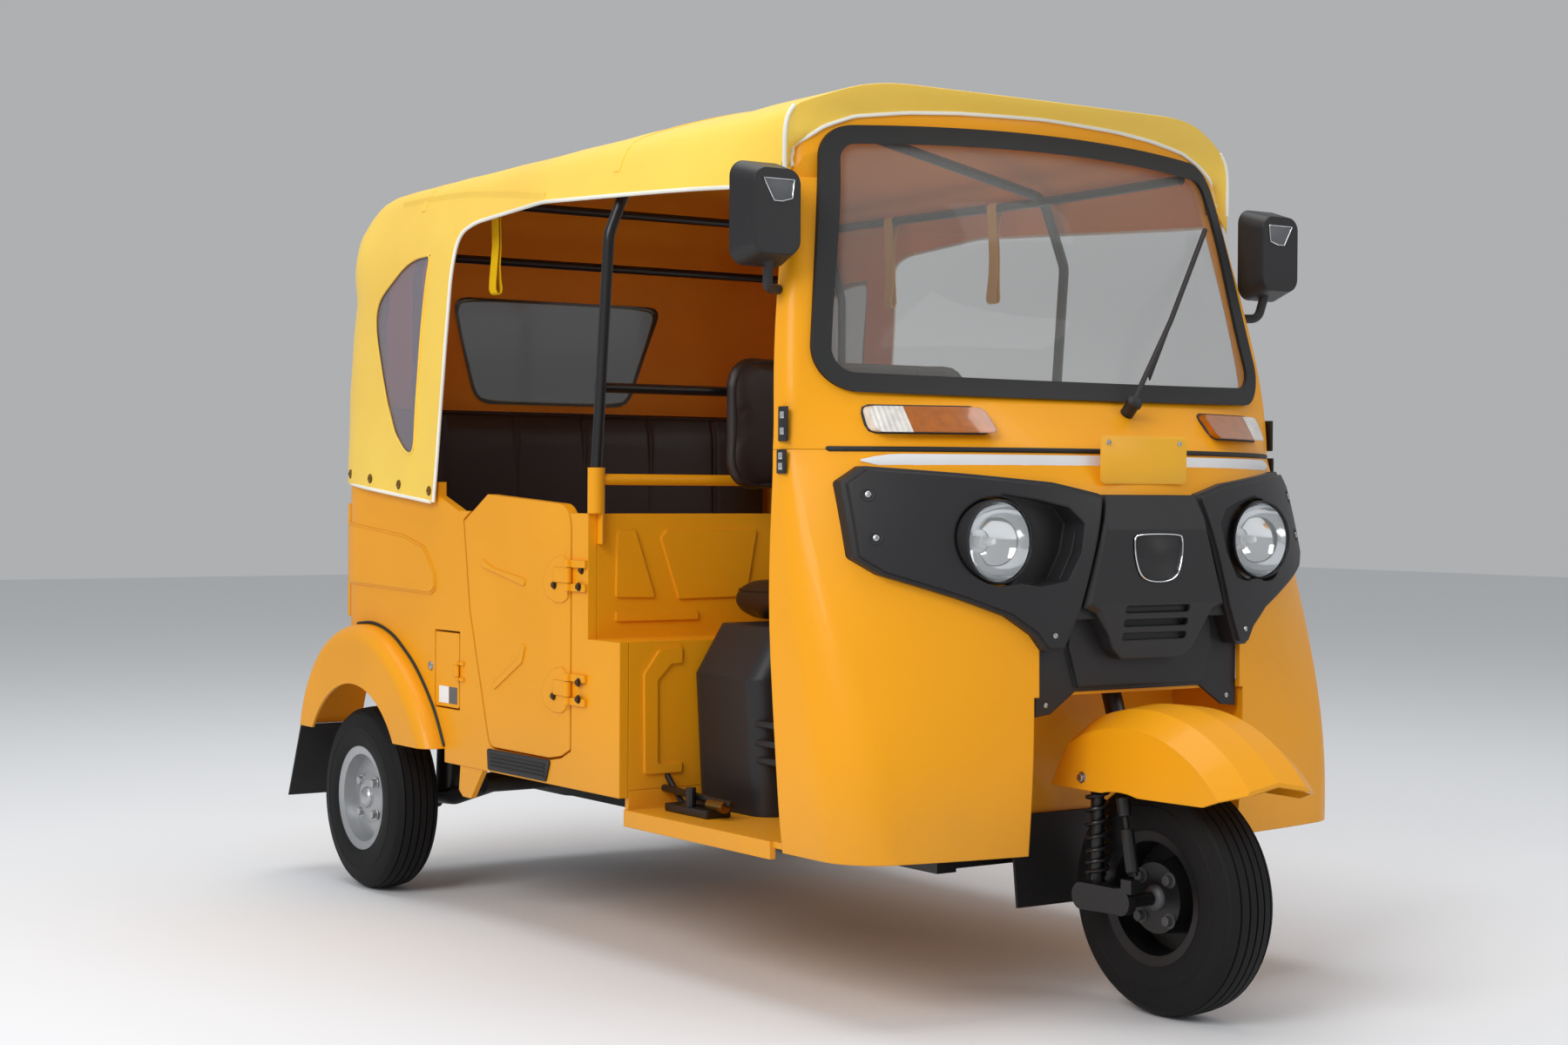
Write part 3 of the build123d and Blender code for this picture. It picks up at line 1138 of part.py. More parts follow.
# mudguard cross-section: half width and radius from the axle
guard_r = tyre_diameter / 2 + 129.5
guard_section = ((0.0, guard_r), (66.0, guard_r - 7.0), (114.0, guard_r - 37.0), (128.0, guard_r - 147.0))
guard_t = 5.0
guard_tip_y = -1317.0
with BuildPart() as front_mudguard:
    with BuildSketch(Plane.XY.offset(axle_z)):
        with BuildLine():
            outer = [(x, front_axle_y + r) for x, r in guard_section]
            inner = [(max(x - guard_t, 0.0), front_axle_y + r - (guard_t if r > 250 else 0.0)) for x, r in guard_section]
            Polyline(*outer, *inner[::-1], close=True)
        make_face()
    revolve(axis=Axis((0, front_axle_y, axle_z), (1, 0, 0)), revolution_arc=180.0)
    mirror(about=Plane.YZ)
    with BuildSketch(Plane.XY.offset(0.0)):
        Rectangle(600.0, 4000.0)
    extrude(amount=guard_low_z, mode=Mode.SUBTRACT)
    add(side_prism(((-878.0, guard_low_z - 92.0), (-878.0, guard_low_z), (-948.0, guard_low_z + 143.0),
                    (-948.0, 700.0), (-600.0, 700.0), (-600.0, guard_low_z - 92.0)), -300.0, 300.0),
        mode=Mode.SUBTRACT)
    # beak: the front edge rises to a tip
    add(side_prism(((-1250.0, guard_low_z - 3), (guard_tip_y, guard_low_z + 21.0), (guard_tip_y, 600.0),
                    (-1400.0, 600.0), (-1400.0, 300.0), (-1250.0, 300.0)), -300.0, 300.0), mode=Mode.SUBTRACT)
    with BuildSketch(Plane(origin=tuple(steer_point(400.0)), z_dir=steer_dir)):
        Circle(column_r + seat_gap)
    extrude(amount=300.0, mode=Mode.SUBTRACT)
save("front_mudguard", front_mudguard.part)

with BuildPart() as front_flap:
    add(side_prism(((well_rear_y - seat_gap, 330.0), (well_rear_y - seat_gap - 6.0, 330.0), (well_rear_y - 26.0, 165.0),
                    (well_rear_y - 20.0, 165.0)), -150.0, 150.0))
save("front_flap", front_flap.part)

bar_plane = Plane(origin=tuple(steer_point(bar_z)), x_dir=(1, 0, 0), z_dir=steer_dir)
with BuildPart() as handlebar:
    with BuildSketch(bar_plane.offset(-14.0)):
        with Locations((0, 30.0)):
            RectangleRounded(70.0, 100.0, 14.0)
    extrude(amount=28.0)
    bar_half = [(-270.0, 195.0), (-205.0, 172.0), (-120.0, 60.0)]
    bar_points = [*bar_half, *[(-x, y) for x, y in bar_half[::-1]]]
    bar_world = [tuple(bar_plane.from_local_coords(Vector(x, y, 0))) for x, y in bar_points]
    add(tube(bar_world, 11.0, 40.0))
    for end, start in ((0, 1), (5, 4)):
        along = Vector(*bar_world[end]) - Vector(*bar_world[start])
        with BuildSketch(Plane(origin=bar_world[start], z_dir=along)):
            Circle(17.0)
        extrude(amount=along.length + 28.0)
    with BuildSketch(Plane(origin=tuple(steer_point(bar_z - 60.0)), z_dir=steer_dir)):
        Circle(column_r + 0.05)
    extrude(amount=60.0 / steer_dir[2], mode=Mode.SUBTRACT)
save("handlebar", handlebar.part)


def tyre(x, y):
    """Tyre with a rounded shoulder, on the rim's bead seats."""
    half, bead, outer = tyre_width / 2, rim_diameter / 2, tyre_diameter / 2
    with BuildPart() as ring:
        with BuildSketch(Plane.XY.offset(axle_z)):
            with BuildLine():
                Polyline((x - 44.0, y + bead - 12.0), (x - half, y + bead + 28.0), (x - half + 6, y + outer - 34.0))
                ThreePointArc((x - half + 6, y + outer - 34.0), (x - half + 12, y + outer - 17.0),
                              (x - half + 24, y + outer - 5.0))
                ThreePointArc((x - half + 24, y + outer - 5.0), (x, y + outer), (x + half - 24, y + outer - 5.0))
                ThreePointArc((x + half - 24, y + outer - 5.0), (x + half - 12, y + outer - 17.0),
                              (x + half - 6, y + outer - 34.0))
                Polyline((x + half - 6, y + outer - 34.0), (x + half, y + bead + 28.0), (x + 44.0, y + bead - 12.0),
                         (x - 44.0, y + bead - 12.0))
            make_face()
        revolve(axis=Axis((0, y, axle_z), (1, 0, 0)))
    return ring.part


def rim(x, y, out):
    """Pressed disc wheel with its hub; out is +1 where the dish faces +X."""
    bead = rim_diameter / 2
    with BuildPart() as wheel:
        with BuildSketch(Plane.XY.offset(axle_z)):
            with BuildLine():
                Polyline((x - 44.0 * out, y + bead - 12.0 - seat_gap), (x + 44.0 * out, y + bead - 12.0 - seat_gap),
                         (x + 48.0 * out, y + bead), (x + 51.0 * out, y + bead), (x + 46.0 * out, y + bead - 18.0),
                         (x + 20.0 * out, y + bead - 22.0), (x + 26.0 * out, y + 60.0), (x + 34.0 * out, y + 40.0),
                         (x + 34.0 * out, y + stub_r + 0.06), (x - 40.0 * out, y + stub_r + 0.06),
                         (x - 40.0 * out, y + 62.0), (x + 14.0 * out, y + 66.0), (x + 8.0 * out, y + bead - 22.0),
                         (x - 46.0 * out, y + bead - 18.0), (x - 51.0 * out, y + bead), (x - 48.0 * out, y + bead), close=True)
            make_face()
        revolve(axis=Axis((0, y, axle_z), (1, 0, 0)))
    return wheel.part


# name, wheel centre x, axle y, side that the dish faces
wheel_table = (
    ("front", 0.0, front_axle_y, 1),
    ("rear_right", -rear_hub_x, rear_axle_y, -1),
    ("rear_left", rear_hub_x, rear_axle_y, 1),
)
for wheel_name, x, y, out in wheel_table:
    save(wheel_name + "_tyre", tyre(x, y))
    save(wheel_name + "_rim", rim(x, y, out))
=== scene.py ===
"""Auto rickshaw: the looks of a three-wheeled taxi with a cloth canopy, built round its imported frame."""
import math

import bmesh
import bpy
from mathutils import Matrix, Vector, geometry


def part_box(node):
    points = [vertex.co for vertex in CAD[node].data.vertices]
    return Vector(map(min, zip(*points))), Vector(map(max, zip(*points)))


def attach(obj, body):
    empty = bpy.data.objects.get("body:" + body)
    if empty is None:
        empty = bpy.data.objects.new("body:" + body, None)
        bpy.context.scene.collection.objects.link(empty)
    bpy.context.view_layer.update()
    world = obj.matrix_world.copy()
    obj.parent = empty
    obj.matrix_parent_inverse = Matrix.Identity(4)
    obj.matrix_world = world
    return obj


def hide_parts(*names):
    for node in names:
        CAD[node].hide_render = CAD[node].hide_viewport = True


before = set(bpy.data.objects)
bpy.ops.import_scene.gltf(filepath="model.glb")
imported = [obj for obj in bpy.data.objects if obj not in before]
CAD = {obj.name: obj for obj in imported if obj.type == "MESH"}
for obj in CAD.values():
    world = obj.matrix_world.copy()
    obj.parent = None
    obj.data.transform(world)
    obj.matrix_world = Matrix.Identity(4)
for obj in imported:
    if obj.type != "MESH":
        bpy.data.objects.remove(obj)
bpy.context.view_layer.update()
# the canopy's half width, highest point and rear face
CANOPY_HALF, CANOPY_TOP, CANOPY_REAR = 0.6083, 1.7, 1.1733

bl_info = {
    "name": "Auto Rickshaw", "version": (1, 0, 0), "blender": (4, 5, 0),
    "location": "View3D > Sidebar > Rickshaw",
    "description": "Builds the cloth, cushions, lamps, tyres and finishes of a three-wheeled taxi",
    "category": "Object",
}

MM = 0.001
# brownish colour of the painted shade low on the body panels
SILL_SHADE = "8F7A58"
# sockets of the Mix node when it mixes colours
MIX_FIRST, MIX_SECOND, MIX_RESULT = 6, 7, 2
# lines per metre of a wave texture at scale 1
WAVE_LINES = 3.2
# edges sharper than this are bevelled
BEVEL_ANGLE = math.radians(40)


# ---------------------------------------------------------------- user sizes and colours
def colour_prop(name, description, value):
    """A colour that a user can pick, given as an sRGB hex string."""
    return bpy.props.StringProperty(name=name, description=description, default=value)


class RickshawColours(bpy.types.PropertyGroup):
    """Paint, cloth and trim colours as sRGB hex."""

    paint: colour_prop("Paint", "Body paint", "F2A313")
    cloth: colour_prop("Cloth", "Canopy cloth outside", "FFD04E")
    cloth_inside: colour_prop("Cloth inside", "Canopy cloth seen from inside", "FF9508")
    piping: colour_prop("Piping", "Edge binding of the canopy", "F4F1E6")
    trim: colour_prop("Trim", "Moulded black trim", "232224")
    seat: colour_prop("Seat", "Seat cover", "23150E")
    strap: colour_prop("Strap", "Hand strap webbing", "F5C400")
    floor: colour_prop("Floor", "Studio floor", "E9EBEE")


class RickshawSizes(bpy.types.PropertyGroup):
    """Sizes of the made pieces."""

    piping_d: bpy.props.FloatProperty(name="Piping", description="Piping diameter", default=0.008,
                                      unit="LENGTH")
    tread_depth: bpy.props.FloatProperty(name="Tread", description="Depth of the tyre ribs", default=0.005,
                                         unit="LENGTH")


def colours():
    """The user's colours."""
    return bpy.context.scene.rickshaw_colours


def sizes():
    """The user's sizes."""
    return bpy.context.scene.rickshaw_sizes


# ---------------------------------------------------------------- materials
def linear(text):
    """Linear RGBA of an sRGB hex string."""
    out = []
    for i in (0, 2, 4):
        c = int(text[i:i + 2], 16) / 255.0
        out.append(c / 12.92 if c <= 0.04045 else ((c + 0.055) / 1.055) ** 2.4)
    return (*out, 1.0)


def node(mat, kind, inputs=(), links=(), **settings):
    """Adds a shader node with its settings, input values and links (input, from node, from output)."""
    made = mat.node_tree.nodes.new(kind)
    for key, value in settings.items():
        setattr(made, key, value)
    for key, value in dict(inputs).items():
        made.inputs[key].default_value = value
    for key, source, output in links:
        mat.node_tree.links.new(source.outputs[output], made.inputs[key])
    return made


def shader(name, **values):
    """A new material with a Principled shader whose sockets are set."""
    mat = bpy.data.materials.new(name)
    mat.use_nodes = True
    bsdf = mat.node_tree.nodes["Principled BSDF"]
    for key, value in values.items():
        bsdf.inputs[key.replace("_", " ")].default_value = value
    return mat, bsdf


def link(mat, source, output, target, socket):
    """Connects an output of one node to a socket of another."""
    mat.node_tree.links.new(source.outputs[output], target.inputs[socket])


def place(mat):
    """Object coordinates, through one Mapping node."""
    coords = node(mat, "ShaderNodeTexCoord")
    return node(mat, "ShaderNodeMapping", (), [("Vector", coords, "Object")])


def noise(mat, at, scale, detail):
    """Noise texture over the object's coordinates."""
    return node(mat, "ShaderNodeTexNoise", {"Scale": scale, "Detail": detail}, [("Vector", at, "Vector")])


def shade(text, factor):
    """Hex colour made lighter or darker."""
    return "".join(f"{max(0, min(255, round(int(text[i:i + 2], 16) * factor))):02X}" for i in (0, 2, 4))


def mottled(mat, source, hex_colour, low, high):
    """Colour that drifts with a noise between a darker and a lighter shade of one colour."""
    made = node(mat, "ShaderNodeValToRGB", (), [("Fac", source, "Fac")])
    for stop, position, factor in zip(made.color_ramp.elements, (0.3, 0.7), (low, high)):
        stop.position, stop.color = position, linear(shade(hex_colour, factor))
    return made


def mixed_colour(mat, share, first, second):
    """Colour mix of a colour node with another colour node or a plain colour, by a math node's share."""
    made = node(mat, "ShaderNodeMix", (), [("Factor", share, "Value")], data_type="RGBA")
    link(mat, first, "Color", made, MIX_FIRST)
    if isinstance(second, tuple):
        made.inputs[MIX_SECOND].default_value = second
    else:
        link(mat, second, "Color", made, MIX_SECOND)
    return made


def raised(mat, bsdf, source, output, strength, distance, edge_mm=0.0):
    """Relief by a node's value, over pressed or moulded edges that are rounded by edge_mm."""
    lift = node(mat, "ShaderNodeBump", {"Strength": strength, "Distance": distance},
                [("Height", source, output)])
    if edge_mm:
        soft = node(mat, "ShaderNodeBevel", {"Radius": edge_mm * MM}, samples=4)
        link(mat, soft, "Normal", lift, "Normal")
    link(mat, lift, "Normal", bsdf, "Normal")


def grained(name, hex_colour, grain_mm, bump, rough, spread=0.1, vary=0.06, edge_mm=0.0, **values):
    """A surface whose colour, gloss and height vary with a noise of that grain size."""
    mat, bsdf = shader(name, Roughness=rough, **values)
    at = place(mat)
    tint = mottled(mat, noise(mat, at, 3.0, 3.0), hex_colour, 1 - vary, 1 + vary)
    link(mat, tint, "Color", bsdf, "Base Color")
    fine = noise(mat, at, 1.0 / (grain_mm * MM), 2.0)
    gloss = node(mat, "ShaderNodeMapRange", {"From Min": 0.3, "From Max": 0.7, "To Min": rough - spread / 2,
                                             "To Max": rough + spread / 2}, [("Value", fine, "Fac")])
    link(mat, gloss, "Result", bsdf, "Roughness")
    if bump:
        raised(mat, bsdf, fine, "Fac", bump, grain_mm * MM * 0.5, edge_mm)
    return mat


def woven(name, hex_colour, thread_mm, bump, rough, vary=0.05, **values):
    """Cloth of crossing threads: fine ridges along each direction, gloss between them, broad fading."""
    mat, bsdf = shader(name, Roughness=rough, **values)
    at = place(mat)
    tint = mottled(mat, noise(mat, at, 2.5, 4.0), hex_colour, 1 - vary, 1 + vary)
    link(mat, tint, "Color", bsdf, "Base Color")
    waves = [node(mat, "ShaderNodeTexWave", {"Scale": 1.0 / (thread_mm * MM) / WAVE_LINES, "Distortion": 0.4},
                  [("Vector", at, "Vector")], bands_direction=direction) for direction in ("X", "Y", "Z")]
    across = node(mat, "ShaderNodeMath", (), [(0, waves[0], "Fac"), (1, waves[1], "Fac")],
                  operation="MAXIMUM")
    ridges = node(mat, "ShaderNodeMath", (), [(0, across, "Value"), (1, waves[2], "Fac")],
                  operation="MAXIMUM")
    gloss = node(mat, "ShaderNodeMapRange", {"To Min": rough + 0.08, "To Max": rough - 0.05},
                 [("Value", ridges, "Value")])
    link(mat, gloss, "Result", bsdf, "Roughness")
    raised(mat, bsdf, ridges, "Value", bump, thread_mm * MM * 0.4)
    return mat


def gloss_paint():
    """Two-pack enamel on pressed steel: a clear gloss coat, faint orange peel and painted shade that darkens
    the panels towards the sills.
    """
    mat, bsdf = shader("enamel_paint", Roughness=0.42, Specular_IOR_Level=0.22, Coat_Weight=0.14,
                       Coat_Roughness=0.1)
    at = place(mat)
    tint = mottled(mat, noise(mat, at, 2.2, 2.0), colours().paint, 0.975, 1.02)
    # painted shade: the panels darken towards the sills and lighten upwards, in patches
    height = node(mat, "ShaderNodeSeparateXYZ", (), [("Vector", at, "Vector")])
    low = node(mat, "ShaderNodeMapRange", {"From Min": 0.24, "From Max": 0.46, "To Min": 0.30, "To Max": 0.0},
               [("Value", height, "Z")])
    sill_shade = node(mat, "ShaderNodeMath", (), [(0, low, "Result"), (1, noise(mat, at, 9.0, 5.0), "Fac")],
                operation="MULTIPLY")
    # mixes the painted shade colour into the paint
    link(mat, mixed_colour(mat, sill_shade, tint, linear(SILL_SHADE)), MIX_RESULT, bsdf, "Base Color")
    raised(mat, bsdf, noise(mat, at, 1 / (6 * MM), 1.0), "Fac", 0.04, 0.4 * MM, edge_mm=3.5)
    return mat


def clear_glass(name, hex_colour, rough, alpha):
    """A thin pane: mostly see-through with a mirror-like face."""
    return shader(name, Base_Color=linear(hex_colour), Roughness=rough, Alpha=alpha, IOR=1.5)[0]


def signal_lens(name, inner_hex, outer_hex, axis, threshold, rib_mm=9.0):
    """Moulded lens in two colours that meet at a place along an axis, with fine vertical ribs."""
    mat, bsdf = shader(name, Roughness=0.12, Coat_Weight=1.0, Coat_Roughness=0.03)
    at = place(mat)
    parts = node(mat, "ShaderNodeSeparateXYZ", (), [("Vector", at, "Vector")])
    size = node(mat, "ShaderNodeMath", (), [(0, parts, axis)], operation="ABSOLUTE")
    outer = node(mat, "ShaderNodeMath", {1: threshold}, [(0, size, "Value")], operation="GREATER_THAN")
    glow = noise(mat, at, 60.0, 2.0)
    mixed = mixed_colour(mat, outer, mottled(mat, glow, inner_hex, 0.92, 1.06),
                         mottled(mat, glow, outer_hex, 0.90, 1.03))
    link(mat, mixed, MIX_RESULT, bsdf, "Base Color")
    ribs = node(mat, "ShaderNodeTexWave", {"Scale": 1.0 / (rib_mm * MM) / WAVE_LINES},
                [("Vector", at, "Vector")])
    share = node(mat, "ShaderNodeMath", (), [(0, ribs, "Fac"), (1, outer, "Value")], operation="MULTIPLY")
    raised(mat, bsdf, share, "Value", 0.7, 2.0 * MM, edge_mm=4.0)
    return mat


MATERIALS = {}


def finish(key):
    """The named material, made once."""
    if key not in MATERIALS:
        MATERIALS[key] = RECIPES[key]()
    return MATERIALS[key]


RECIPES = {
    # warm yellow-orange panels with a soft sheen and painted shade on the sills
    "paint": gloss_paint,
    # charcoal plastic with a fine grain, its moulded edges catching a soft line of light
    "trim": lambda: grained("moulded_polypropylene", colours().trim, 0.8, 0.12, 0.46, edge_mm=6.0,
                            Specular_IOR_Level=0.4),
    # black tubes and castings with a satin highlight
    "black_paint": lambda: grained("stove_enamel_black", "141415", 2.0, 0.05, 0.35),
    # dull black seals, flaps and beads
    "rubber": lambda: grained("extruded_rubber", "1B1B1C", 1.0, 0.1, 0.6),
    # darkest black, coarse and nearly without shine
    "tyre": lambda: grained("tyre_rubber", "0D0D0E", 1.5, 0.15, 0.7, Specular_IOR_Level=0.3),
    # a light grey veil over what stands behind the windscreen: a painted reflection of the bright sky on the
    # glass
    "glass": lambda: clear_glass("laminated_glass", "9C9D9A", 0.02, 0.2),
    # milky quarter panes with a blurred reflection
    "window": lambda: clear_glass("clear_vinyl", "9C949E", 0.1, 0.45),
    # smoke-grey rear pane, much darker than the quarter panes
    "tinted": lambda: clear_glass("tinted_vinyl", "3A3B3D", 0.1, 0.66),
    # almost invisible lamp front that only adds a sharp highlight
    "lens": lambda: clear_glass("lamp_glass", "F2F6F6", 0.02, 0.08),
    # orange turn signal with a ribbed clear end
    "amber": lambda: signal_lens("amber_and_clear_acrylic", "A85A08", "E9E4DC", "X", 0.412),
    # deep red tail lamp with an amber upper end
    "red": lambda: signal_lens("red_and_amber_acrylic", "8E0B0B", "C85A0C", "Z", 0.815),
    # near-black brown cover with a leathery grain
    "seat": lambda: grained("seat_vinyl", colours().seat, 1.2, 0.25, 0.45, 0.12),
    # bright, slightly brushed bolts and latches
    "steel": lambda: grained("zinc_steel", "B9BABB", 1.0, 0.05, 0.35, Metallic=1.0),
    # painted wheel discs, between grey and metal
    "rim_silver": lambda: grained("silver_wheel_paint", "A9ABAD", 1.5, 0.04, 0.32, Metallic=0.6),
    # strong yellow webbing with visible threads
    "strap": lambda: woven("nylon_webbing", colours().strap, 1.8, 0.35, 0.6),
    # brown-black bolt heads on the hinges
    "bronze": lambda: grained("weathered_bolt", "4A3418", 1.0, 0.2, 0.5, Metallic=0.5),
    # rough grey castings of the engine, silencer and front hub
    "cast": lambda: grained("sand_casting", "5A5B5C", 2.5, 0.4, 0.55, Metallic=0.7),
    # orange inner face of the roof, matt and threaded
    "lining": lambda: woven("canvas_lining", colours().cloth_inside, 1.2, 0.25, 0.7),
    # off-white beads that outline the cloth
    "binding": lambda: grained("vinyl_binding", colours().piping, 1.0, 0.1, 0.45),
    # mirror-bright reflectors, rivets and badge rim
    "chrome": lambda: grained("bright_chrome", "E4E6E8", 1.0, 0.0, 0.09, 0.03, 0.02, Metallic=1.0),
    # sharpest reflection of all, on the rear-view mirrors
    "mirror": lambda: grained("mirror_glass", "DADDE0", 1.0, 0.0, 0.03, 0.01, 0.01, Metallic=1.0),
    # white core in the middle of each reflector
    "bulb": lambda: grained("bulb_glass", "FFFFFF", 1.0, 0.0, 0.2),
    # flat yellow plate, a little warmer than the body
    "plate": lambda: grained("bare_plate_enamel", "F9B21C", 1.5, 0.04, 0.4),
    # clean white band across the nose
    "white_strip": lambda: grained("white_reflective_tape", "F3F3F5", 0.8, 0.08, 0.35),
    # mid-grey label and mirror patches
    "grey_patch": lambda: grained("grey_plastic", "5B5C5F", 0.8, 0.08, 0.4),
    # dull golden fasteners along the hem
    "brass": lambda: grained("pressed_brass", "8A6A34", 1.0, 0.05, 0.35, Metallic=1.0),
    # thin dark edging of the cushions
    "seat_piping": lambda: grained("seat_piping_vinyl", "1A1211", 1.0, 0.1, 0.42),
    # light yellow canopy with a weak sheen and a fine weave
    "cloth": lambda: woven("coated_canvas", colours().cloth, 1.2, 0.15, 0.48, 0.035, Sheen_Weight=0.08),
}

# finish: the frame's nodes that carry it
NODE_FINISHES = {
    "paint": ("lower_cowl", "windscreen_frame", "rear_body", "rear_fenders", "partition", "floor_pan",
              "door_right", "door_left", "door_hinges", "engine_lid", "fuel_lid", "front_mudguard"),
    "trim": ("fascia_wings", "fascia_centre", "fascia_base", "step_plates", "dashboard", "mirrors",
             "seat_pedestal",
             "wiper"),
    "rubber": ("windscreen_gasket", "mudflaps", "front_flap"),
    "black_paint": ("canopy_frame", "chassis_frame", "front_fork", "front_link", "front_suspension",
                    "handlebar", "foot_controls", "rear_suspension", "front_rim"),
    "cast": ("silencer", "engine_block"), "rim_silver": ("rear_right_rim", "rear_left_rim"),
    "tyre": ("front_tyre", "rear_right_tyre", "rear_left_tyre"),
    "seat": ("driver_cushion", "driver_backrest", "bench_cushion", "bench_backrest"), "cloth": ("canopy",),
    "strap": ("hand_straps",), "glass": ("windscreen_glass",), "window": ("canopy_windows",),
    "lens": ("headlamps",), "amber": ("turn_signals",), "red": ("tail_lamps",),
}


# ---------------------------------------------------------------- modelling helpers
def alone(piece):
    """Leaves only this piece selected and active."""
    bpy.ops.object.select_all(action="DESELECT")
    piece.select_set(True)
    bpy.context.view_layer.objects.active = piece


def primitive(kind, name, **settings):
    """Adds a mesh primitive and moves its place into its mesh."""
    bpy.ops.object.select_all(action="DESELECT")
    getattr(bpy.ops.mesh, f"primitive_{kind}_add")(**settings)
    piece = bpy.context.object
    piece.name = piece.data.name = name
    bpy.ops.object.transform_apply(location=True, rotation=True, scale=True)
    return piece


def pick(piece, kind, test):
    """Selects in edit mode the edges or faces that pass the test."""
    mesh = bmesh.from_edit_mesh(piece.data)
    for item in mesh.verts:
        item.select = False
    for item in list(mesh.edges) + list(mesh.faces):
        item.select = False
    for item in getattr(mesh, kind):
        if test(item):
            item.select_set(True)
    bmesh.update_edit_mesh(piece.data)


def edit(piece, kind, test, operator, **settings):
    """Runs an edit-mode operator on the edges or faces that pass a test."""
    alone(piece)
    bpy.ops.object.mode_set(mode="EDIT")
    bpy.ops.mesh.select_mode(type={"edges": "EDGE", "faces": "FACE"}[kind])
    pick(piece, kind, test)
    operator(**settings)
    bpy.ops.object.mode_set(mode="OBJECT")


def subdivide_along(piece, axis, longer, cuts):
    """Cuts every edge that runs farther than a length along an axis."""
    edit(piece, "edges", lambda e: abs(e.verts[0].co[axis] - e.verts[1].co[axis]) > longer,
         bpy.ops.mesh.subdivide, number_cuts=cuts)


def modify(piece, kind, **settings):
    """Adds a modifier and applies it."""
    alone(piece)
    made = piece.modifiers.new(kind.lower(), kind)
    for key, value in settings.items():
        setattr(made, key, value)
    bpy.ops.object.modifier_apply(modifier=made.name)


def cut(piece, cutter, operation="DIFFERENCE"):
    """Boolean of the piece with a cutter, which is then thrown away."""
    modify(piece, "BOOLEAN", object=cutter, operation=operation, solver="EXACT")
    bpy.data.objects.remove(cutter)


def smooth(piece, degrees=35.0):
    """Smooth shading with edges sharper than an angle kept hard."""
    alone(piece)
    bpy.ops.object.shade_smooth_by_angle(angle=math.radians(degrees))


def dress(piece, keys, body="root"):
    """Materials and body of a made piece."""
    piece.data.materials.clear()
    for key in keys:
        piece.data.materials.append(finish(key))
    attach(piece, body)
    return piece


def joined(name, pieces):
    """Joins the pieces into one mesh."""
    bpy.ops.object.select_all(action="DESELECT")
    for piece in pieces:
        piece.select_set(True)
    bpy.context.view_layer.objects.active = pieces[0]
    if len(pieces) > 1:
        bpy.ops.object.join()
    pieces[0].name = pieces[0].data.name = name
    return pieces[0]


def box_of(name):
    """Lowest and highest corner of a node's box."""
    return tuple(Vector(corner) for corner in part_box(name))


def built(name, verts, edges, faces):
    """A new mesh object from its points, edges and faces, left active."""
    mesh = bpy.data.meshes.new(name)
    mesh.from_pydata(verts, edges, faces)
    piece = bpy.data.objects.new(name, mesh)
    bpy.context.scene.collection.objects.link(piece)
    alone(piece)
    return piece


def cord(name, points, diameter, order=3, closed=False, resolution=8, steps=3):
    """A round bead along a smooth spline through control points, as a mesh."""
    curve = bpy.data.curves.new(name, "CURVE")
    curve.dimensions = "3D"
    curve.bevel_depth = diameter / 2
    curve.bevel_resolution = steps
    curve.use_fill_caps = not closed
    spline = curve.splines.new("NURBS")
    spline.points.add(len(points) - 1)
    for target, point in zip(spline.points, points):
        target.co = (*point, 1.0)
    spline.order_u = order
    spline.use_cyclic_u = closed
    spline.use_endpoint_u = not closed
    spline.resolution_u = resolution
    piece = bpy.data.objects.new(name, curve)
    bpy.context.scene.collection.objects.link(piece)
    alone(piece)
    bpy.ops.object.convert(target="MESH")
    smooth(piece)
    return piece


def outline_plate(name, points, depth, bevel=0.0):
    """A flat plate from a closed outline of 3-D points, thickened along depth, its rim bevelled."""
    piece = built(name, [Vector(p) for p in points], [], [list(range(len(points)))])
    bpy.ops.object.mode_set(mode="EDIT")
    bpy.ops.mesh.select_all(action="SELECT")
    bpy.ops.mesh.extrude_region_move(TRANSFORM_OT_translate={"value": depth})
    bpy.ops.mesh.select_all(action="SELECT")
    bpy.ops.mesh.normals_make_consistent(inside=False)
    bpy.ops.object.mode_set(mode="OBJECT")
    if bevel:
        modify(piece, "BEVEL", width=bevel, segments=2, limit_method="ANGLE", angle_limit=BEVEL_ANGLE)
    smooth(piece)
    return piece


# ---------------------------------------------------------------- canopy
# side view of the roof behind the driver (y, z): straight runs between its bends, mm
ROOF_RUNS = ((480.0, -14.0), (750.0, -48.0), (985.0, -92.0), (1123.0, -250.0), (1165.0, -400.0),
             (1173.0, -840.0))
# height of the points from which the cloth's grid is cast
CANOPY_CORE_Z = 1.18
CLOTH_THICK = 0.0026
# how far the panes lie inside the cloth's outer face
VINYL_LIFT = -0.0056
# how far the panes reach past their openings, mm
VINYL_SEAM = 9.0
# lower edge of the cloth's front flap on the windscreen frame (x, z), mm
FLAP_EDGE = ((-548.0, 1490.0), (-519.0, 1527.0), (-461.0, 1565.0), (-402.0, 1587.0), (-300.0, 1600.0),
             (-194.0, 1607.0), (0.0, 1612.0), (194.0, 1607.0), (300.0, 1600.0), (402.0, 1587.0),
             (461.0, 1565.0), (519.0, 1527.0),
             (548.0, 1490.0))
# edge of the doorway, from the windscreen over the doors to the hem (y, z), mm
SIDE_OPENING = ((-664.0, 1602.0), (-622.0, 1456.0), (182.0, 1503.0), (471.0, 1484.0), (532.0, 1461.0),
                (558.0, 1219.0), (597.0, 886.0))
# outline of the pane behind the doorway (y, z), mm
QUARTER_PANE = ((650.0, 1428.0), (727.0, 1425.0), (781.0, 1411.0), (835.0, 1380.0), (887.0, 1352.0),
                (908.0, 1328.0), (915.0, 1299.0), (907.0, 1258.0), (877.0, 1184.0), (840.0, 1104.0),
                (798.0, 1040.0), (758.0, 1005.0), (722.0, 990.0), (700.0, 1000.0), (681.0, 1224.0),
                (665.0, 1338.0))
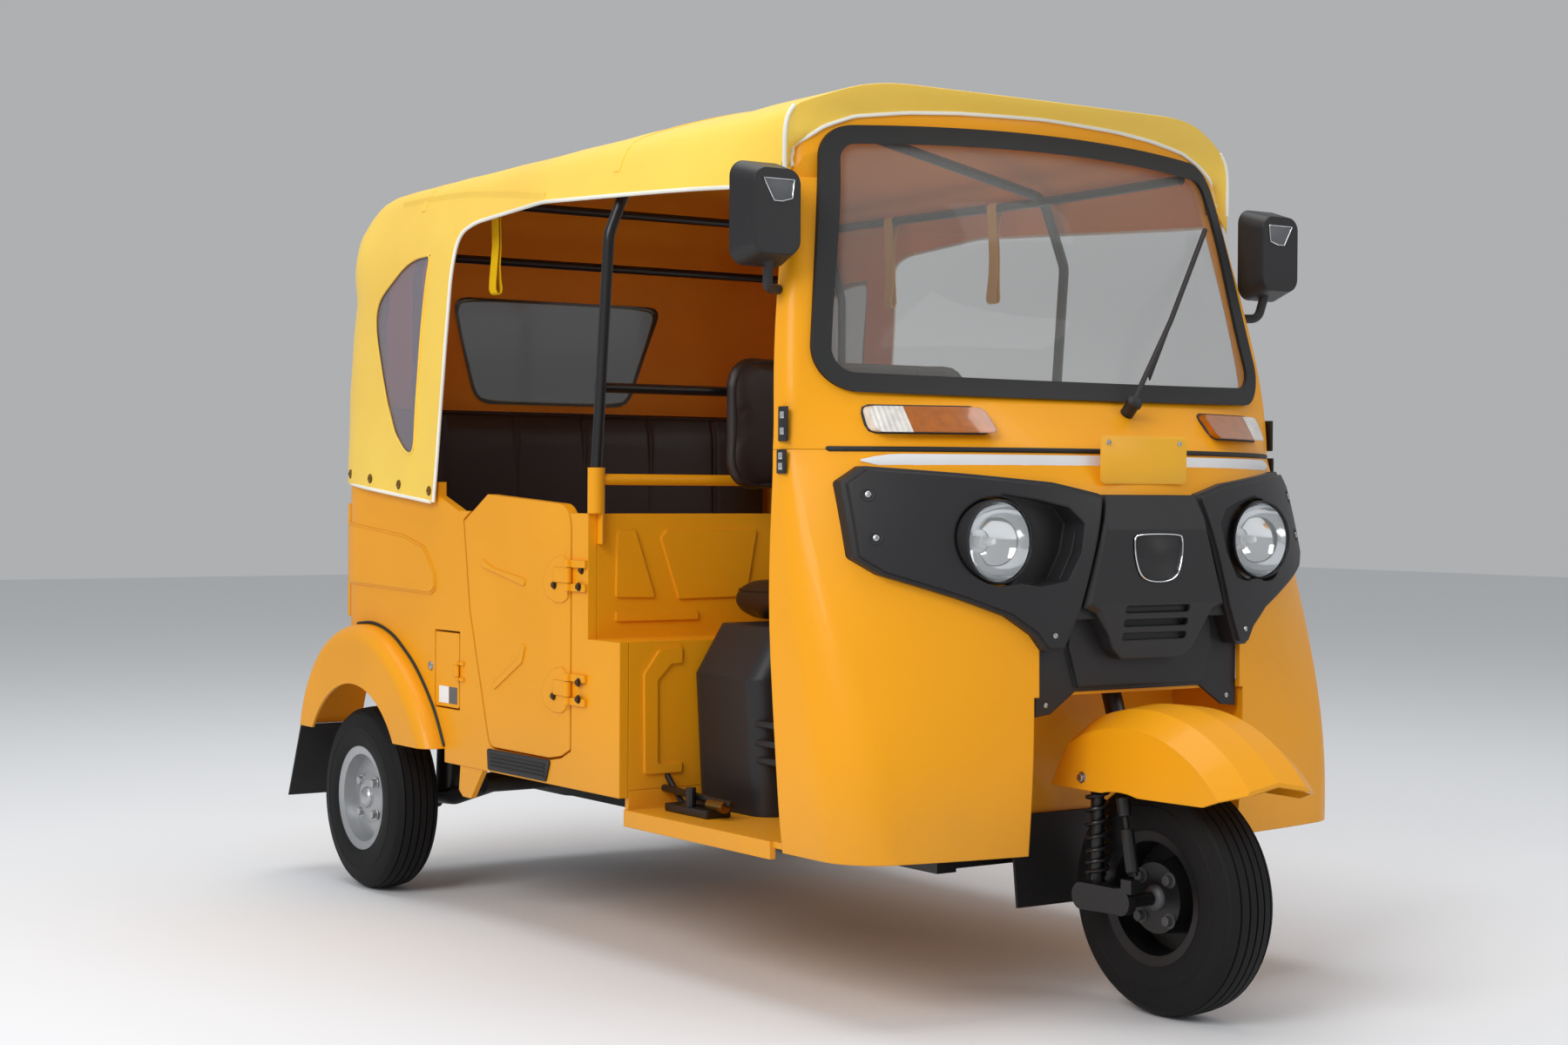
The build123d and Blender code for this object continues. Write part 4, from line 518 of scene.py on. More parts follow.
# half width inside which a pane belongs to the back of the canopy
REAR_PANE_REACH = 0.45
# outline of the rear pane (x, z), mm
REAR_PANE = ((-210.0, 1131.0), (210.0, 1131.0), (290.0, 1378.0), (-290.0, 1378.0))


def soft_min(first, second, k):
    """The smaller of two depths, rounded where they meet."""
    h = max(k - abs(first - second), 0.0) / k
    return min(first, second) - h * h * k / 4


def through(points, y):
    """Parabola through three (y, z) points."""
    (a, fa), (b, fb), (c, fc) = points
    return (fa * (y - b) * (y - c) / ((a - b) * (a - c)) + fb * (y - a) * (y - c) / ((b - a) * (b - c))
            + fc * (y - a) * (y - b) / ((c - a) * (c - b)))


def canopy_depth(x, y, z):
    """How far a point lies inside the cloth; below 0 it is outside."""
    half, top = CANOPY_HALF, CANOPY_TOP
    x = abs(x)
    wall = half + 0.006 - 0.0241 * (z - 0.85) - x
    shoulder = -((x - half + 0.008) * 0.947 + (z - 1.43) * 0.320)
    if y < 0.06:
        crown = through(((-0.758, 1.636), (-0.33, top - 0.008), (0.06, top)), y)
    else:
        crown = through(((0.06, top), (0.48, top - 0.014), (0.75, top - 0.048)), min(y, 0.75))
        crown -= max(0.0, y - 0.75) * 0.187
    across = 1 - (x / (half - 0.062)) ** 2
    front_share = min(1.0, max(0.0, (-0.1 - y) / 0.35))
    hugging = soft_min(1.59 + 0.112 * across, crown, 0.02)
    arched = 1.59 + (crown - 1.59) * across
    roof = front_share * hugging + (1 - front_share) * arched - z
    # the cloth sags a little between its hoops
    for start, end, drop in ((-0.55, -0.10, 0.004), (-0.09, 0.74, 0.009)):
        if start < y < end:
            roof -= drop * math.sin(math.pi * (y - start) / (end - start)) ** 2 * max(0.0, across)
    back = 10.0
    for (y1, drop1), (y2, drop2) in zip(ROOF_RUNS[1:], ROOF_RUNS[2:]):
        run, fall = (y2 - y1) * MM, (drop2 - drop1) * MM
        depth = ((top + drop1 * MM - z) * run + (y - y1 * MM) * fall) / math.hypot(run, fall)
        back = depth if back > 5 else soft_min(back, depth, 0.05)
    taper = (half - 0.066 - x) * 0.978 + (y + 0.64) * 0.208
    plan = soft_min(wall, taper, 0.04)
    plan = soft_min(plan, shoulder, 0.02)
    over = soft_min(roof, back, 0.03)
    low = min(1.0, max(0.0, (1.50 - z) / 0.15)) * min(1.0, max(0.0, (y - 0.8) / 0.15))
    return soft_min(plan, over, 0.03 + 0.155 * low)


def on_canopy(core, target, lift=0.0):
    """Where the ray from a core point through a target leaves the cloth, moved outwards by lift."""
    core, target = Vector(core), Vector(target)
    ray = (target - core).normalized()
    near, far = 0.0, 2.0
    for _ in range(22):
        middle = (near + far) / 2
        if canopy_depth(*(core + ray * middle)) > 0:
            near = middle
        else:
            far = middle
    return core + ray * (near + lift)


def on_side(y, z, side=-1, lift=0.0):
    """Point of the cloth's side at a height and station."""
    return on_cloth((0.0, min(y, 0.56), min(z, 1.45)), (side * CANOPY_HALF, y, z), lift)


def hem_z(y):
    """Lower edge of the cloth, rising towards the rear."""
    return 0.886 + max(0.0, y - 0.597) * 0.091


def canopy_station(across, along):
    """Core point and far end for the sheet's grid: across -1 to 1, along 0 to 1."""
    front = -0.728 + 0.088 * min(1.0, abs(across)) ** 2
    return front + (0.56 - front) * along, front + (CANOPY_REAR - front) * along


class RICKSHAW_OT_canopy(bpy.types.Operator):
    """One curved sheet of coated canvas over the hoops, its lining and the panes in its openings"""

    bl_idname = "rickshaw.canopy"
    bl_label = "Canopy"

    def execute(self, context):
        sheet = primitive("cube", "canopy_cloth", size=2.0)
        edit(sheet, "faces", lambda f: f.normal.z < -0.9 or f.normal.y < -0.9, bpy.ops.mesh.delete,
             type="FACE")
        for axis, cuts in ((1, 83), (0, 47), (2, 31)):
            subdivide_along(sheet, axis, 1.0, cuts)
        inner = sheet.vertex_groups.new(name="inner")
        for vertex in sheet.data.vertices:
            a, b, c = vertex.co.x, (vertex.co.y + 1) / 2, (vertex.co.z + 1) / 2
            vertex.co = sheet_point(a, b, c)
            if 0.005 < b and 0.005 < c:
                inner.add([vertex.index], 1.0, "REPLACE")
        modify(sheet, "SMOOTH", factor=0.5, iterations=3, vertex_group="inner")
        for vertex in sheet.data.vertices:
            vertex.co = vertex.co + cloth_ripple(vertex.co)
        modify(sheet, "SOLIDIFY", thickness=CLOTH_THICK, offset=-1.0, use_quality_normals=True,
               material_offset=1, material_offset_rim=0)
        for points, axis, corner in ((SIDE_OPENING, "x", 0.0), (QUARTER_PANE, "x", 0.0),
                                     (REAR_PANE, "y", 40.0)):
            cut(sheet, opening_cutter(rounded(points, corner) if corner else points, axis))
        smooth(sheet, 50.0)
        dress(sheet, ("cloth", "lining"))
        for face in sheet.data.polygons:
            beyond = face.center + face.normal * 0.003
            face.material_index = int(canopy_depth(*beyond) > canopy_depth(*face.center) + 0.001)
        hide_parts("canopy")
        patches = [vinyl_patch(QUARTER_PANE, "x", side) for side in (-1, 1)]
        patches.append(vinyl_patch(rounded(REAR_PANE, 40.0), "y"))
        panes = dress(joined("window_vinyl_panes", patches), ("window", "tinted"))
        for face in panes.data.polygons:
            face.material_index = int(abs(face.center.x) < REAR_PANE_REACH)
        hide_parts("canopy_windows")
        return {"FINISHED"}


def vinyl_patch(opening, axis, side=1):
    """Vinyl pane that follows the cloth's inner face, a seam's width larger than its opening."""
    middle = Vector((sum(p[0] for p in opening) / len(opening), sum(p[1] for p in opening) / len(opening)))
    grown = [middle + (Vector(p) - middle) * (1 + VINYL_SEAM / (Vector(p) - middle).length) for p in opening]
    low = [min(p[k] for p in grown) - 5.0 for k in range(2)]
    high = [max(p[k] for p in grown) + 5.0 for k in range(2)]
    grid = primitive("grid", "vinyl", x_subdivisions=20, y_subdivisions=20, size=1.0)
    for vertex in grid.data.vertices:
        share = (vertex.co.x + 0.5, vertex.co.y + 0.5)
        place_mm, height = (low[k] + (high[k] - low[k]) * share[k] for k in range(2))
        if axis == "x":
            vertex.co = on_canopy((0.0, min(place_mm, 560.0) * MM, min(height, 1450.0) * MM),
                                  (side * CANOPY_HALF, place_mm * MM, height * MM), VINYL_LIFT)
        else:
            vertex.co = on_canopy((place_mm * MM, 0.56, height * MM), (place_mm * MM, 1.3, height * MM),
                                  VINYL_LIFT)
    modify(grid, "SOLIDIFY", thickness=0.0008, offset=0.0)
    cut(grid, opening_cutter([tuple(p) for p in grown], axis), "INTERSECT")
    smooth(grid)
    return grid


def cloth_ripple(point):
    """Small drag lines in the cloth: across the quarters, down from the shoulder and near the hem."""
    x, y, z = point
    side = min(1.0, max(0.0, (abs(x) - 0.5) / 0.08))
    low = max(0.0, 1.0 - (z - 0.88) / 0.3)
    wave = math.sin(y * 31.0 + z * 9.0) * 0.0016 * side * low
    drag = math.sin((y * 0.7 + z) * 22.0 + x) * 0.0012 * side * (1 if y > 0.5 else 0.4)
    roof = math.sin(y * 14.0 + abs(x) * 7.0) * 0.0012 * (1 - side)
    return Vector((-math.copysign(abs(wave) + abs(drag), x) if side else 0.0, 0.0, -abs(roof)))


def opening_cutter(points, axis):
    """Closed prism of an opening, through both sides or through the rear."""
    if axis == "x":
        corners = [Vector((-0.9, y * MM, z * MM)) for y, z in points]
        reach = (1.8, 0.0, 0.0)
        if points is SIDE_OPENING:
            corners = [Vector((-0.9, -1.0, 0.7)), Vector((-0.9, -1.0, 1.602)), *corners,
                       Vector((-0.9, 0.62, 0.7))]
    else:
        corners = [Vector((x * MM, 1.0, z * MM)) for x, z in points]
        reach = (0.0, 0.3, 0.0)
    return outline_plate("cutter", corners, reach)


def rounded(points, radius, steps=4):
    """Closed outline with each corner replaced by an arc-like run."""
    out = []
    for before, corner, after in zip(points[-1:] + points[:-1], points, points[1:] + points[:1]):
        before, corner, after = Vector(before), Vector(corner), Vector(after)
        start = corner + (before - corner).normalized() * radius
        end = corner + (after - corner).normalized() * radius
        for step in range(steps + 1):
            t = step / steps
            out.append(tuple(start * (1 - t) ** 2 + corner * 2 * t * (1 - t) + end * t * t))
    return out


def on_cloth(core, target, lift=0.0):
    """The finished cloth's outer face on the ray from a core point through a target."""
    core, target = Vector(core), Vector(target)
    ray = (target - core).normalized()
    hit, spot, _, _ = bpy.data.objects["canopy_cloth"].ray_cast(core + ray * 2.5, -ray)
    if hit and (spot - on_canopy(core, target)).length < 0.02:
        return spot + ray * lift
    return on_canopy(core, target, lift - 0.001)


def sheet_point(a, b, c):
    """Point of the cloth at its grid place: across, along and up, each from edge to edge."""
    core_y, far_y = canopy_station(a, b)
    foot = hem_z(far_y)
    point = on_canopy((0.0, core_y, CANOPY_CORE_Z), (a * 0.60, far_y, foot + c * (1.66 - foot)))
    if c == 0:
        point.z = foot
    return point


def spaced(points, step):
    """Points along straight runs, about a step apart."""
    out = [Vector(points[0])]
    for start, end in zip(points, points[1:]):
        start, end = Vector(start), Vector(end)
        count = max(1, round((end - start).length / step))
        out += [start.lerp(end, (i + 1) / count) for i in range(count)]
    return out


def ribbon(name, centres, across, width, thick):
    """A flat strip along centre points, its width along the across direction at each point."""
    verts, faces = [], []
    widths = width if hasattr(width, "__len__") else [width] * len(centres)
    for centre, direction, broad in zip(centres, across, widths):
        verts += [centre - direction * broad / 2, centre + direction * broad / 2]
    for i in range(len(centres) - 1):
        faces.append((2 * i, 2 * i + 1, 2 * i + 3, 2 * i + 2))
    piece = built(name, verts, [], faces)
    modify(piece, "SOLIDIFY", thickness=thick, offset=0.0)
    smooth(piece)
    return piece


def along_line(points, count):
    """Points evenly spaced along a run of points."""
    points = [Vector(p) for p in points]
    reach = [0.0]
    for a, b in zip(points, points[1:]):
        reach.append(reach[-1] + (b - a).length)
    out, k = [], 0
    for i in range(count):
        goal = reach[-1] * i / (count - 1)
        while k < len(points) - 2 and reach[k + 1] < goal:
            k += 1
        out.append(points[k].lerp(points[k + 1], (goal - reach[k]) / (reach[k + 1] - reach[k])))
    return out


def on_screen_frame(x, z):
    """Front face of the windscreen frame at a height, drawn inwards until there is a face to lie on."""
    for step in range(16):
        spot = Vector((x * (1 - 0.004 * step), -1.6, z))
        hit, face, _, _ = CAD["windscreen_frame"].ray_cast(spot, Vector((0, 1, 0)))
        if hit:
            return face
    raise RuntimeError(f"no windscreen frame near {x}, {z}")


def front_flap(stations=73, rows=6):
    """The cloth's flap folded down over the windscreen frame, and the line of its lower edge."""
    top = [sheet_point(-1.0, 0.0, c / 20) for c in range(15, 20)]
    top += [sheet_point(a / 24, 0.0, 1.0) for a in range(-24, 25)]
    top += [sheet_point(1.0, 0.0, c / 20) for c in range(19, 14, -1)]
    upper = along_line(top, stations)
    lower = along_line([(x * MM, 0.0, z * MM) for x, z in FLAP_EDGE], stations)
    verts, faces, edge = [], [], []
    for high, low in zip(upper, lower):
        foot = on_screen_frame(low.x, low.z)
        edge.append(foot + Vector((0, -0.003, 0)))
        for row in range(rows):
            share = row / (rows - 1)
            spot = foot.lerp(high, share)
            hit, face, _, _ = CAD["windscreen_frame"].ray_cast(Vector((spot.x, -1.6, spot.z)),
                                                               Vector((0, 1, 0)))
            if hit and row < rows - 1:
                spot.y = min(spot.y, face.y) - 0.0022
            verts.append(spot)
    for i in range(stations - 1):
        for row in range(rows - 1):
            a = i * rows + row
            faces.append((a, a + 1, a + rows + 1, a + rows))
    piece = built("front_flap_cloth", verts, [], faces)
    modify(piece, "SOLIDIFY", thickness=CLOTH_THICK, offset=0.0)
    smooth(piece, 60.0)
    return edge, piece


class RICKSHAW_OT_canopy_trim(bpy.types.Operator):
    """White binding round the openings, hem and front edge, sewn seams, window welts and turn buttons"""

    bl_idname = "rickshaw.canopy_trim"
    bl_label = "Canopy trim"

    def execute(self, context):
        bead = sizes().piping_d
        bindings, seams, buttons, welts = [], [], [], []
        for side in (-1, 1):
            doorway = [(0, y * MM, z * MM) for y, z in SIDE_OPENING[1:]]
            edge = [on_side(y, z, side) for _, y, z in spaced(doorway, 0.07)]
            bindings.append(cord("binding", edge, bead))
            front = [sheet_point(side, 0.0, c) for c in (0.80, 0.86, 0.92, 0.97, 1.0)]
            bindings.append(cord("binding", front, bead))
            seam = [on_side(y * MM, z * MM, side, 0.0006)
                    for y, z in ((175, 1514), (230, 1521), (280, 1528), (330, 1535), (380, 1541), (425, 1547),
                                 (470, 1552), (512, 1557), (555, 1561), (602, 1563), (650, 1565), (695, 1566),
                                 (740, 1567), (780, 1568), (820, 1568), (857, 1568), (893, 1568))]
            seams.append(ribbon("seam", seam, [Vector((0, -0.1, 1)).normalized()] * len(seam), 0.014, 0.0024))
            for y in (0.62, 0.77, 0.92, 1.04):
                spot = on_side(y, hem_z(y) + 0.022, side)
                buttons.append(turn_button(spot, Vector((side, 0, 0))))
            pane = [(0, y * MM, z * MM) for y, z in QUARTER_PANE + QUARTER_PANE[:1]]
            welt = [on_side(p.y, p.z, side, 0.0008) for p in spaced(pane, 0.05)[:-1]]
            welts.append(cord("welt", welt, 0.005, closed=True))
        edge, flap = front_flap()
        dress(flap, ("cloth",))
        bindings.append(cord("binding", edge, bead))
        hem = [sheet_point(-1.0, b, 0.0) for b in (0.684, 0.735, 0.80, 0.87, 0.94)]
        hem += [sheet_point(a, 1.0, 0.0) for a in (-0.97, -0.85, -0.6, -0.3, 0.0, 0.3, 0.6, 0.85, 0.97)]
        hem += [sheet_point(1.0, b, 0.0) for b in (0.94, 0.87, 0.80, 0.735, 0.684)]
        bindings.append(cord("binding", hem, bead))
        for x in (-0.36, -0.12, 0.12, 0.36):
            spot = on_canopy((x, 0.56, 0.97), (x, 1.3, 0.97))
            buttons.append(turn_button(spot, Vector((0, 1, 0))))
        for y in (-0.099, 0.745):
            arch = [on_cloth((0, y, CANOPY_CORE_Z), (0.8 * math.sin(t), y, CANOPY_CORE_Z + 0.8 * math.cos(t)),
                             0.0006)
                    for t in [math.radians(a) for a in range(-58, 59, 2)]]
            seams.append(ribbon("seam", arch, [Vector((0, 1, 0))] * len(arch), 0.022, 0.0024))
        pane = [on_canopy((x * MM, 0.56, z * MM), (x * MM, 1.3, z * MM), 0.0008) for x, z in
                ((-205, 1131), (0, 1131), (205, 1131), (228, 1160), (272, 1320), (282, 1358), (262, 1378),
                 (0, 1378), (-262, 1378), (-282, 1358), (-272, 1320), (-228, 1160))]
        welts.append(cord("welt", pane, 0.006, closed=True))
        sewn = [flap, bpy.data.objects["window_vinyl_panes"],
                dress(joined("canopy_binding", bindings), ("binding",)),
                dress(joined("canopy_seams", seams), ("cloth",)),
                dress(joined("window_welts", welts), ("cloth",))]
        dress(joined("canopy_turn_buttons", buttons), ("brass",))
        return {"FINISHED"}


def lathe(name, profile, centre, axis="y", steps=48):
    """A turned piece: profile points (radius, along) round an axis line through centre."""
    centre = Vector(centre)
    along = {"x": Vector((1, 0, 0)), "y": Vector((0, 1, 0)), "z": Vector((0, 0, 1))}[axis]
    out = {"x": Vector((0, 0, 1)), "y": Vector((0, 0, 1)), "z": Vector((1, 0, 0))}[axis]
    verts = [centre + out * r + along * a for r, a in profile]
    piece = built(name, verts, [(i, i + 1) for i in range(len(verts) - 1)], [])
    bpy.ops.object.mode_set(mode="EDIT")
    bpy.ops.mesh.select_all(action="SELECT")
    bpy.ops.mesh.spin(steps=steps, angle=math.tau, center=centre, axis=along)
    bpy.ops.mesh.select_all(action="SELECT")
    bpy.ops.mesh.remove_doubles(threshold=0.00001)
    bpy.ops.mesh.normals_make_consistent(inside=False)
    bpy.ops.object.mode_set(mode="OBJECT")
    smooth(piece)
    return piece


def turned_to(piece, spot, direction):
    """Places a piece that was turned round Z at the origin onto a spot, its Z along the direction."""
    turn = direction.normalized().to_track_quat("Z", "Y").to_matrix().to_4x4()
    piece.data.transform(Matrix.Translation(spot) @ turn)
    return piece


def turned(name, profile, spot, direction, steps):
    """A turned piece whose axis stands on a spot along the direction."""
    return turned_to(lathe(name, profile, (0, 0, 0), "z", steps), spot, direction)


def turn_button(spot, direction):
    """Domed brass fastener on a small washer."""
    profile = ((0.0, 0.0055), (0.004, 0.005), (0.0065, 0.0032), (0.007, 0.0012), (0.0105, 0.0012),
               (0.011, -0.0005),
               (0.0, -0.0005))
    return turned("button", profile, spot, direction, 20)


def screw_head(spot, direction, radius=0.006):
    """Pan head with a cross recess."""
    profile = ((0.0, 0.0032), (radius * 0.55, 0.003), (radius * 0.9, 0.0018), (radius, 0.0), (0.0, -0.001))
    head = lathe("screw", profile, (0, 0, 0), "z", 20)
    for turn in (0.0, math.pi / 2):
        cut(head, primitive("cube", "slot", size=1.0, scale=(radius, radius * 0.22, 0.003),
                            location=(0, 0, 0.0034), rotation=(0, 0, turn)))
    return turned_to(head, spot, direction)


def hex_bolt(spot, direction, across=0.013, high=0.006):
    """Hexagon head on a washer."""
    head = primitive("cylinder", "bolt", vertices=6, radius=across / 1.732, depth=high,
                     location=(0, 0, high / 2 + 0.001))
    modify(head, "BEVEL", width=0.0008, segments=1, limit_method="ANGLE", angle_limit=BEVEL_ANGLE)
    profile = ((0.0, 0.0012), (across * 0.78, 0.0012), (across * 0.82, 0.0), (0.0, -0.0005))
    washer = lathe("washer", profile, (0, 0, 0), "z", 24)
    return turned_to(joined("bolt", [head, washer]), spot, direction)


# ---------------------------------------------------------------- cushions
def pillow(name, low, high, corner, crown, cuts):
    """Closed cushion blank between two corners: a subdivided block with rounded corners and crowned faces."""
    low, high = Vector(low), Vector(high)
    size, centre = high - low, (low + high) / 2
    blank = primitive("cube", name, size=1.0, location=centre, scale=size)
    for axis, count in enumerate(cuts):
        subdivide_along(blank, axis, size[axis] * 0.9, count)
    thin = min(range(3), key=lambda k: size[k])
    wide = [k for k in range(3) if k != thin]
    for vertex in blank.data.vertices:
        at = Vector([2 * (vertex.co[k] - centre[k]) / size[k] for k in range(3)])
        u, v, w = at[wide[0]], at[wide[1]], at[thin]
        # square to rounded outline
        reach = [abs(vertex.co[k] - centre[k]) - (size[k] / 2 - corner) for k in wide]
        if min(reach) > 0:
            pull = max(reach) / math.hypot(*reach)
            for k, part in zip(wide, reach):
                sign = math.copysign(1.0, vertex.co[k] - centre[k])
                vertex.co[k] = centre[k] + sign * (size[k] / 2 - corner + part * pull)
        # crowned faces and rounded rim
        dome = (1 - abs(u) ** 2.6) * (1 - abs(v) ** 2.6)
        vertex.co[thin] = centre[thin] + w * (size[thin] / 2) * (crown + (1 - crown) * dome)
        rim = max(abs(u), abs(v)) ** 14
        vertex.co[wide[0]] -= math.copysign(0.012 * rim * w * w, u) if abs(u) > 0.05 else 0.0
        vertex.co[wide[1]] -= math.copysign(0.012 * rim * w * w, v) if abs(v) > 0.05 else 0.0
    return blank


def swell(piece, voxel, cap):
    """Fills the cushion: cloth under pressure for 20 frames, its movement capped."""
    modify(piece, "REMESH", mode="VOXEL", voxel_size=voxel)
    rest = [vertex.co.copy() for vertex in piece.data.vertices]
    alone(piece)
    cloth = piece.modifiers.new("fill", "CLOTH")
    cloth.settings.use_pressure = True
    cloth.settings.uniform_pressure_force = 4.0
    cloth.settings.quality = 5
    cloth.settings.effector_weights.gravity = 0.0
    cloth.collision_settings.use_collision = False
    cloth.point_cache.frame_start, cloth.point_cache.frame_end = 1, 20
    scene = bpy.context.scene
    for frame_number in range(1, 21):
        scene.frame_set(frame_number)
    bpy.ops.object.modifier_apply(modifier=cloth.name)
    scene.frame_set(1)
    for vertex, start in zip(piece.data.vertices, rest):
        move = vertex.co - start
        if move.length > cap:
            vertex.co = start + move.normalized() * cap


def groove(piece, depth, width, face, distance):
    """Presses sewn channels into the cushion: distance gives how far a point is from the nearest seam."""
    for vertex, normal in zip(piece.data.vertices, [v.normal.copy() for v in piece.data.vertices]):
        share = math.exp(-(distance(vertex.co) / width) ** 2)
        toward = max(0.0, normal.dot(face))
        vertex.co -= normal * depth * share * toward


def held_inside(piece, low, high):
    """Keeps the piece within the space of its solid."""
    for vertex in piece.data.vertices:
        vertex.co = Vector([min(max(vertex.co[k], low[k]), high[k]) for k in range(3)])


class RICKSHAW_OT_cushions(bpy.types.Operator):
    """Driver's seat and back pad, passenger bench and its back, crowned, filled, seamed and piped"""

    bl_idname = "rickshaw.cushions"
    bl_label = "Cushions"

    def execute(self, context):
        for key, voxel, cap, corner, cuts in (
                ("driver_cushion", 0.0065, 0.010, 0.05, (30, 16, 5)),
                ("driver_backrest", 0.0065, 0.008, 0.06, (30, 5, 14)),
                ("bench_cushion", 0.008, 0.012, 0.05, (44, 18, 5)),
                ("bench_backrest", 0.008, 0.010, 0.05, (44, 5, 20))):
            low, high = box_of(key)
            inset = Vector((0.006, 0.006, 0.006))
            crown = 0.72 if "cushion" in key else 0.62
            piece = pillow(f"{key}_pad", low + inset, high - inset, corner, crown, cuts)
            swell(piece, voxel, cap)
            modify(piece, "SUBSURF", levels=1, render_levels=1)
            upright = "backrest" in key
            face = Vector((0, -1, 0)) if upright else Vector((0, 0, 1))
            seams = SEAT_SEAMS[key]
            groove(piece, 0.005, 0.006, face,
                   lambda co: min(abs(co[axis] - at) for axis, at in seams) if seams else 1.0)
            held_inside(piece, low, high)
            smooth(piece, 60.0)
            dress(piece, ("seat",))
            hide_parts(key)
            piping = rim_piping(f"{key}_piping", piece, low, high, upright)
            dress(piping, ("seat_piping",))
        return {"FINISHED"}


# sewn channels of each cushion: (axis, place in metres)
SEAT_SEAMS = {
    "driver_cushion": ((0, -0.16), (0, 0.16), (1, -0.30)), "driver_backrest": ((0, -0.16), (0, 0.16)),
    "bench_cushion": ((0, -0.19), (0, 0.19), (0, -0.38), (0, 0.38), (0, 0.0)),
    "bench_backrest": ((0, -0.19), (0, 0.19), (0, -0.38), (0, 0.38), (0, 0.0)),
}


def rim_piping(name, piece, low, high, upright):
    """Sewn bead round the cushion's face edge, laid on the surface by casting rays at it."""
    centre = (low + high) / 2
    level = (low.y * 0.72 + high.y * 0.28) if upright else (low.z * 0.28 + high.z * 0.72)
    points = []
    for i in range(72):
        t = math.tau * i / 72
        ray = Vector((math.cos(t), 0, math.sin(t))) if upright else Vector((math.cos(t), math.sin(t), 0))
        half = (high - low) / 2
        ray = Vector([ray[k] * half[k] for k in range(3)])
        start = Vector((centre.x, level, centre.z)) if upright else Vector((centre.x, centre.y, level))
        hit, spot, _, _ = piece.ray_cast(start + ray * 2.2, (-ray).normalized())
        if hit:
            points.append(spot)
    bead = cord(name, points, 0.007, closed=True, resolution=3, steps=2)
    held_inside(bead, low, high)
    return bead


# ---------------------------------------------------------------- lamps, wheels and fittings
def cast(names, start, direction):
    """First spot where a ray meets one of the CAD nodes, with its normal."""
    best = None
    for name in names:
        hit, spot, normal, _ = CAD[name].ray_cast(Vector(start), Vector(direction).normalized())
        if hit and (best is None or (spot - Vector(start)).length < (best[0] - Vector(start)).length):
            best = (spot.copy(), normal.copy())
    if best is None:
        raise RuntimeError(f"no surface of {names} from {tuple(start)}")
    return best


COWL = ("lower_cowl", "windscreen_frame")
REAR_AXLE = (0.935, 0.2075)
FASCIA = ("fascia_wings", "fascia_centre", "fascia_base")


def on_front(names, x, z, lift=0.0):
    """Point of a front panel at x and height z."""
    spot, _ = cast(names, (x, -1.6, z), (0, 1, 0))
    return spot + Vector((0, -lift, 0))


# parts of a headlamp: finish, steps round its axis, profile (radius, y)
HEADLAMP = {
    "reflector": ("chrome", 64, (
        (0.010, -0.908), (0.020, -0.909), (0.021, -0.912), (0.040, -0.920), (0.054, -0.933), (0.064, -0.950),
        (0.0675, -0.963), (0.069, -0.963), (0.066, -0.949), (0.055, -0.930), (0.040, -0.916),
        (0.010, -0.904))),
    "bulb": ("bulb", 24, (
        (0.0, -0.952), (0.005, -0.950), (0.0075, -0.944), (0.0075, -0.925), (0.010, -0.922), (0.010, -0.903),
        (0.0, -0.903))),
    "glass": ("lens", 64, (
        (0.0, -0.9855), (0.020, -0.9848), (0.040, -0.9815), (0.056, -0.9755), (0.066, -0.968),
        (0.069, -0.962), (0.066, -0.962), (0.054, -0.972), (0.038, -0.978), (0.0, -0.982))),
    "ring": ("trim", 64, (
        (0.0685, -0.966), (0.0705, -0.970), (0.073, -0.968), (0.073, -0.900), (0.052, -0.8925),
        (0.0, -0.8925), (0.0, -0.895), (0.051, -0.895), (0.0705, -0.902), (0.0705, -0.962),
        (0.0685, -0.963))),
}


class RICKSHAW_OT_headlamps(bpy.types.Operator):
    """Silvered reflector, bulb, fluted glass and black ring of each headlamp"""

    bl_idname = "rickshaw.headlamps"
    bl_label = "Headlamps"

    def execute(self, context):
        for name, (key, steps, profile) in HEADLAMP.items():
            made = [lathe(name, profile, (side * 0.314, 0.0, 0.829), steps=steps) for side in (-1, 1)]
            piece = dress(joined(f"headlamp_{name}", made), (key,))
            if name == "ring":
                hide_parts("headlamps")
        return {"FINISHED"}


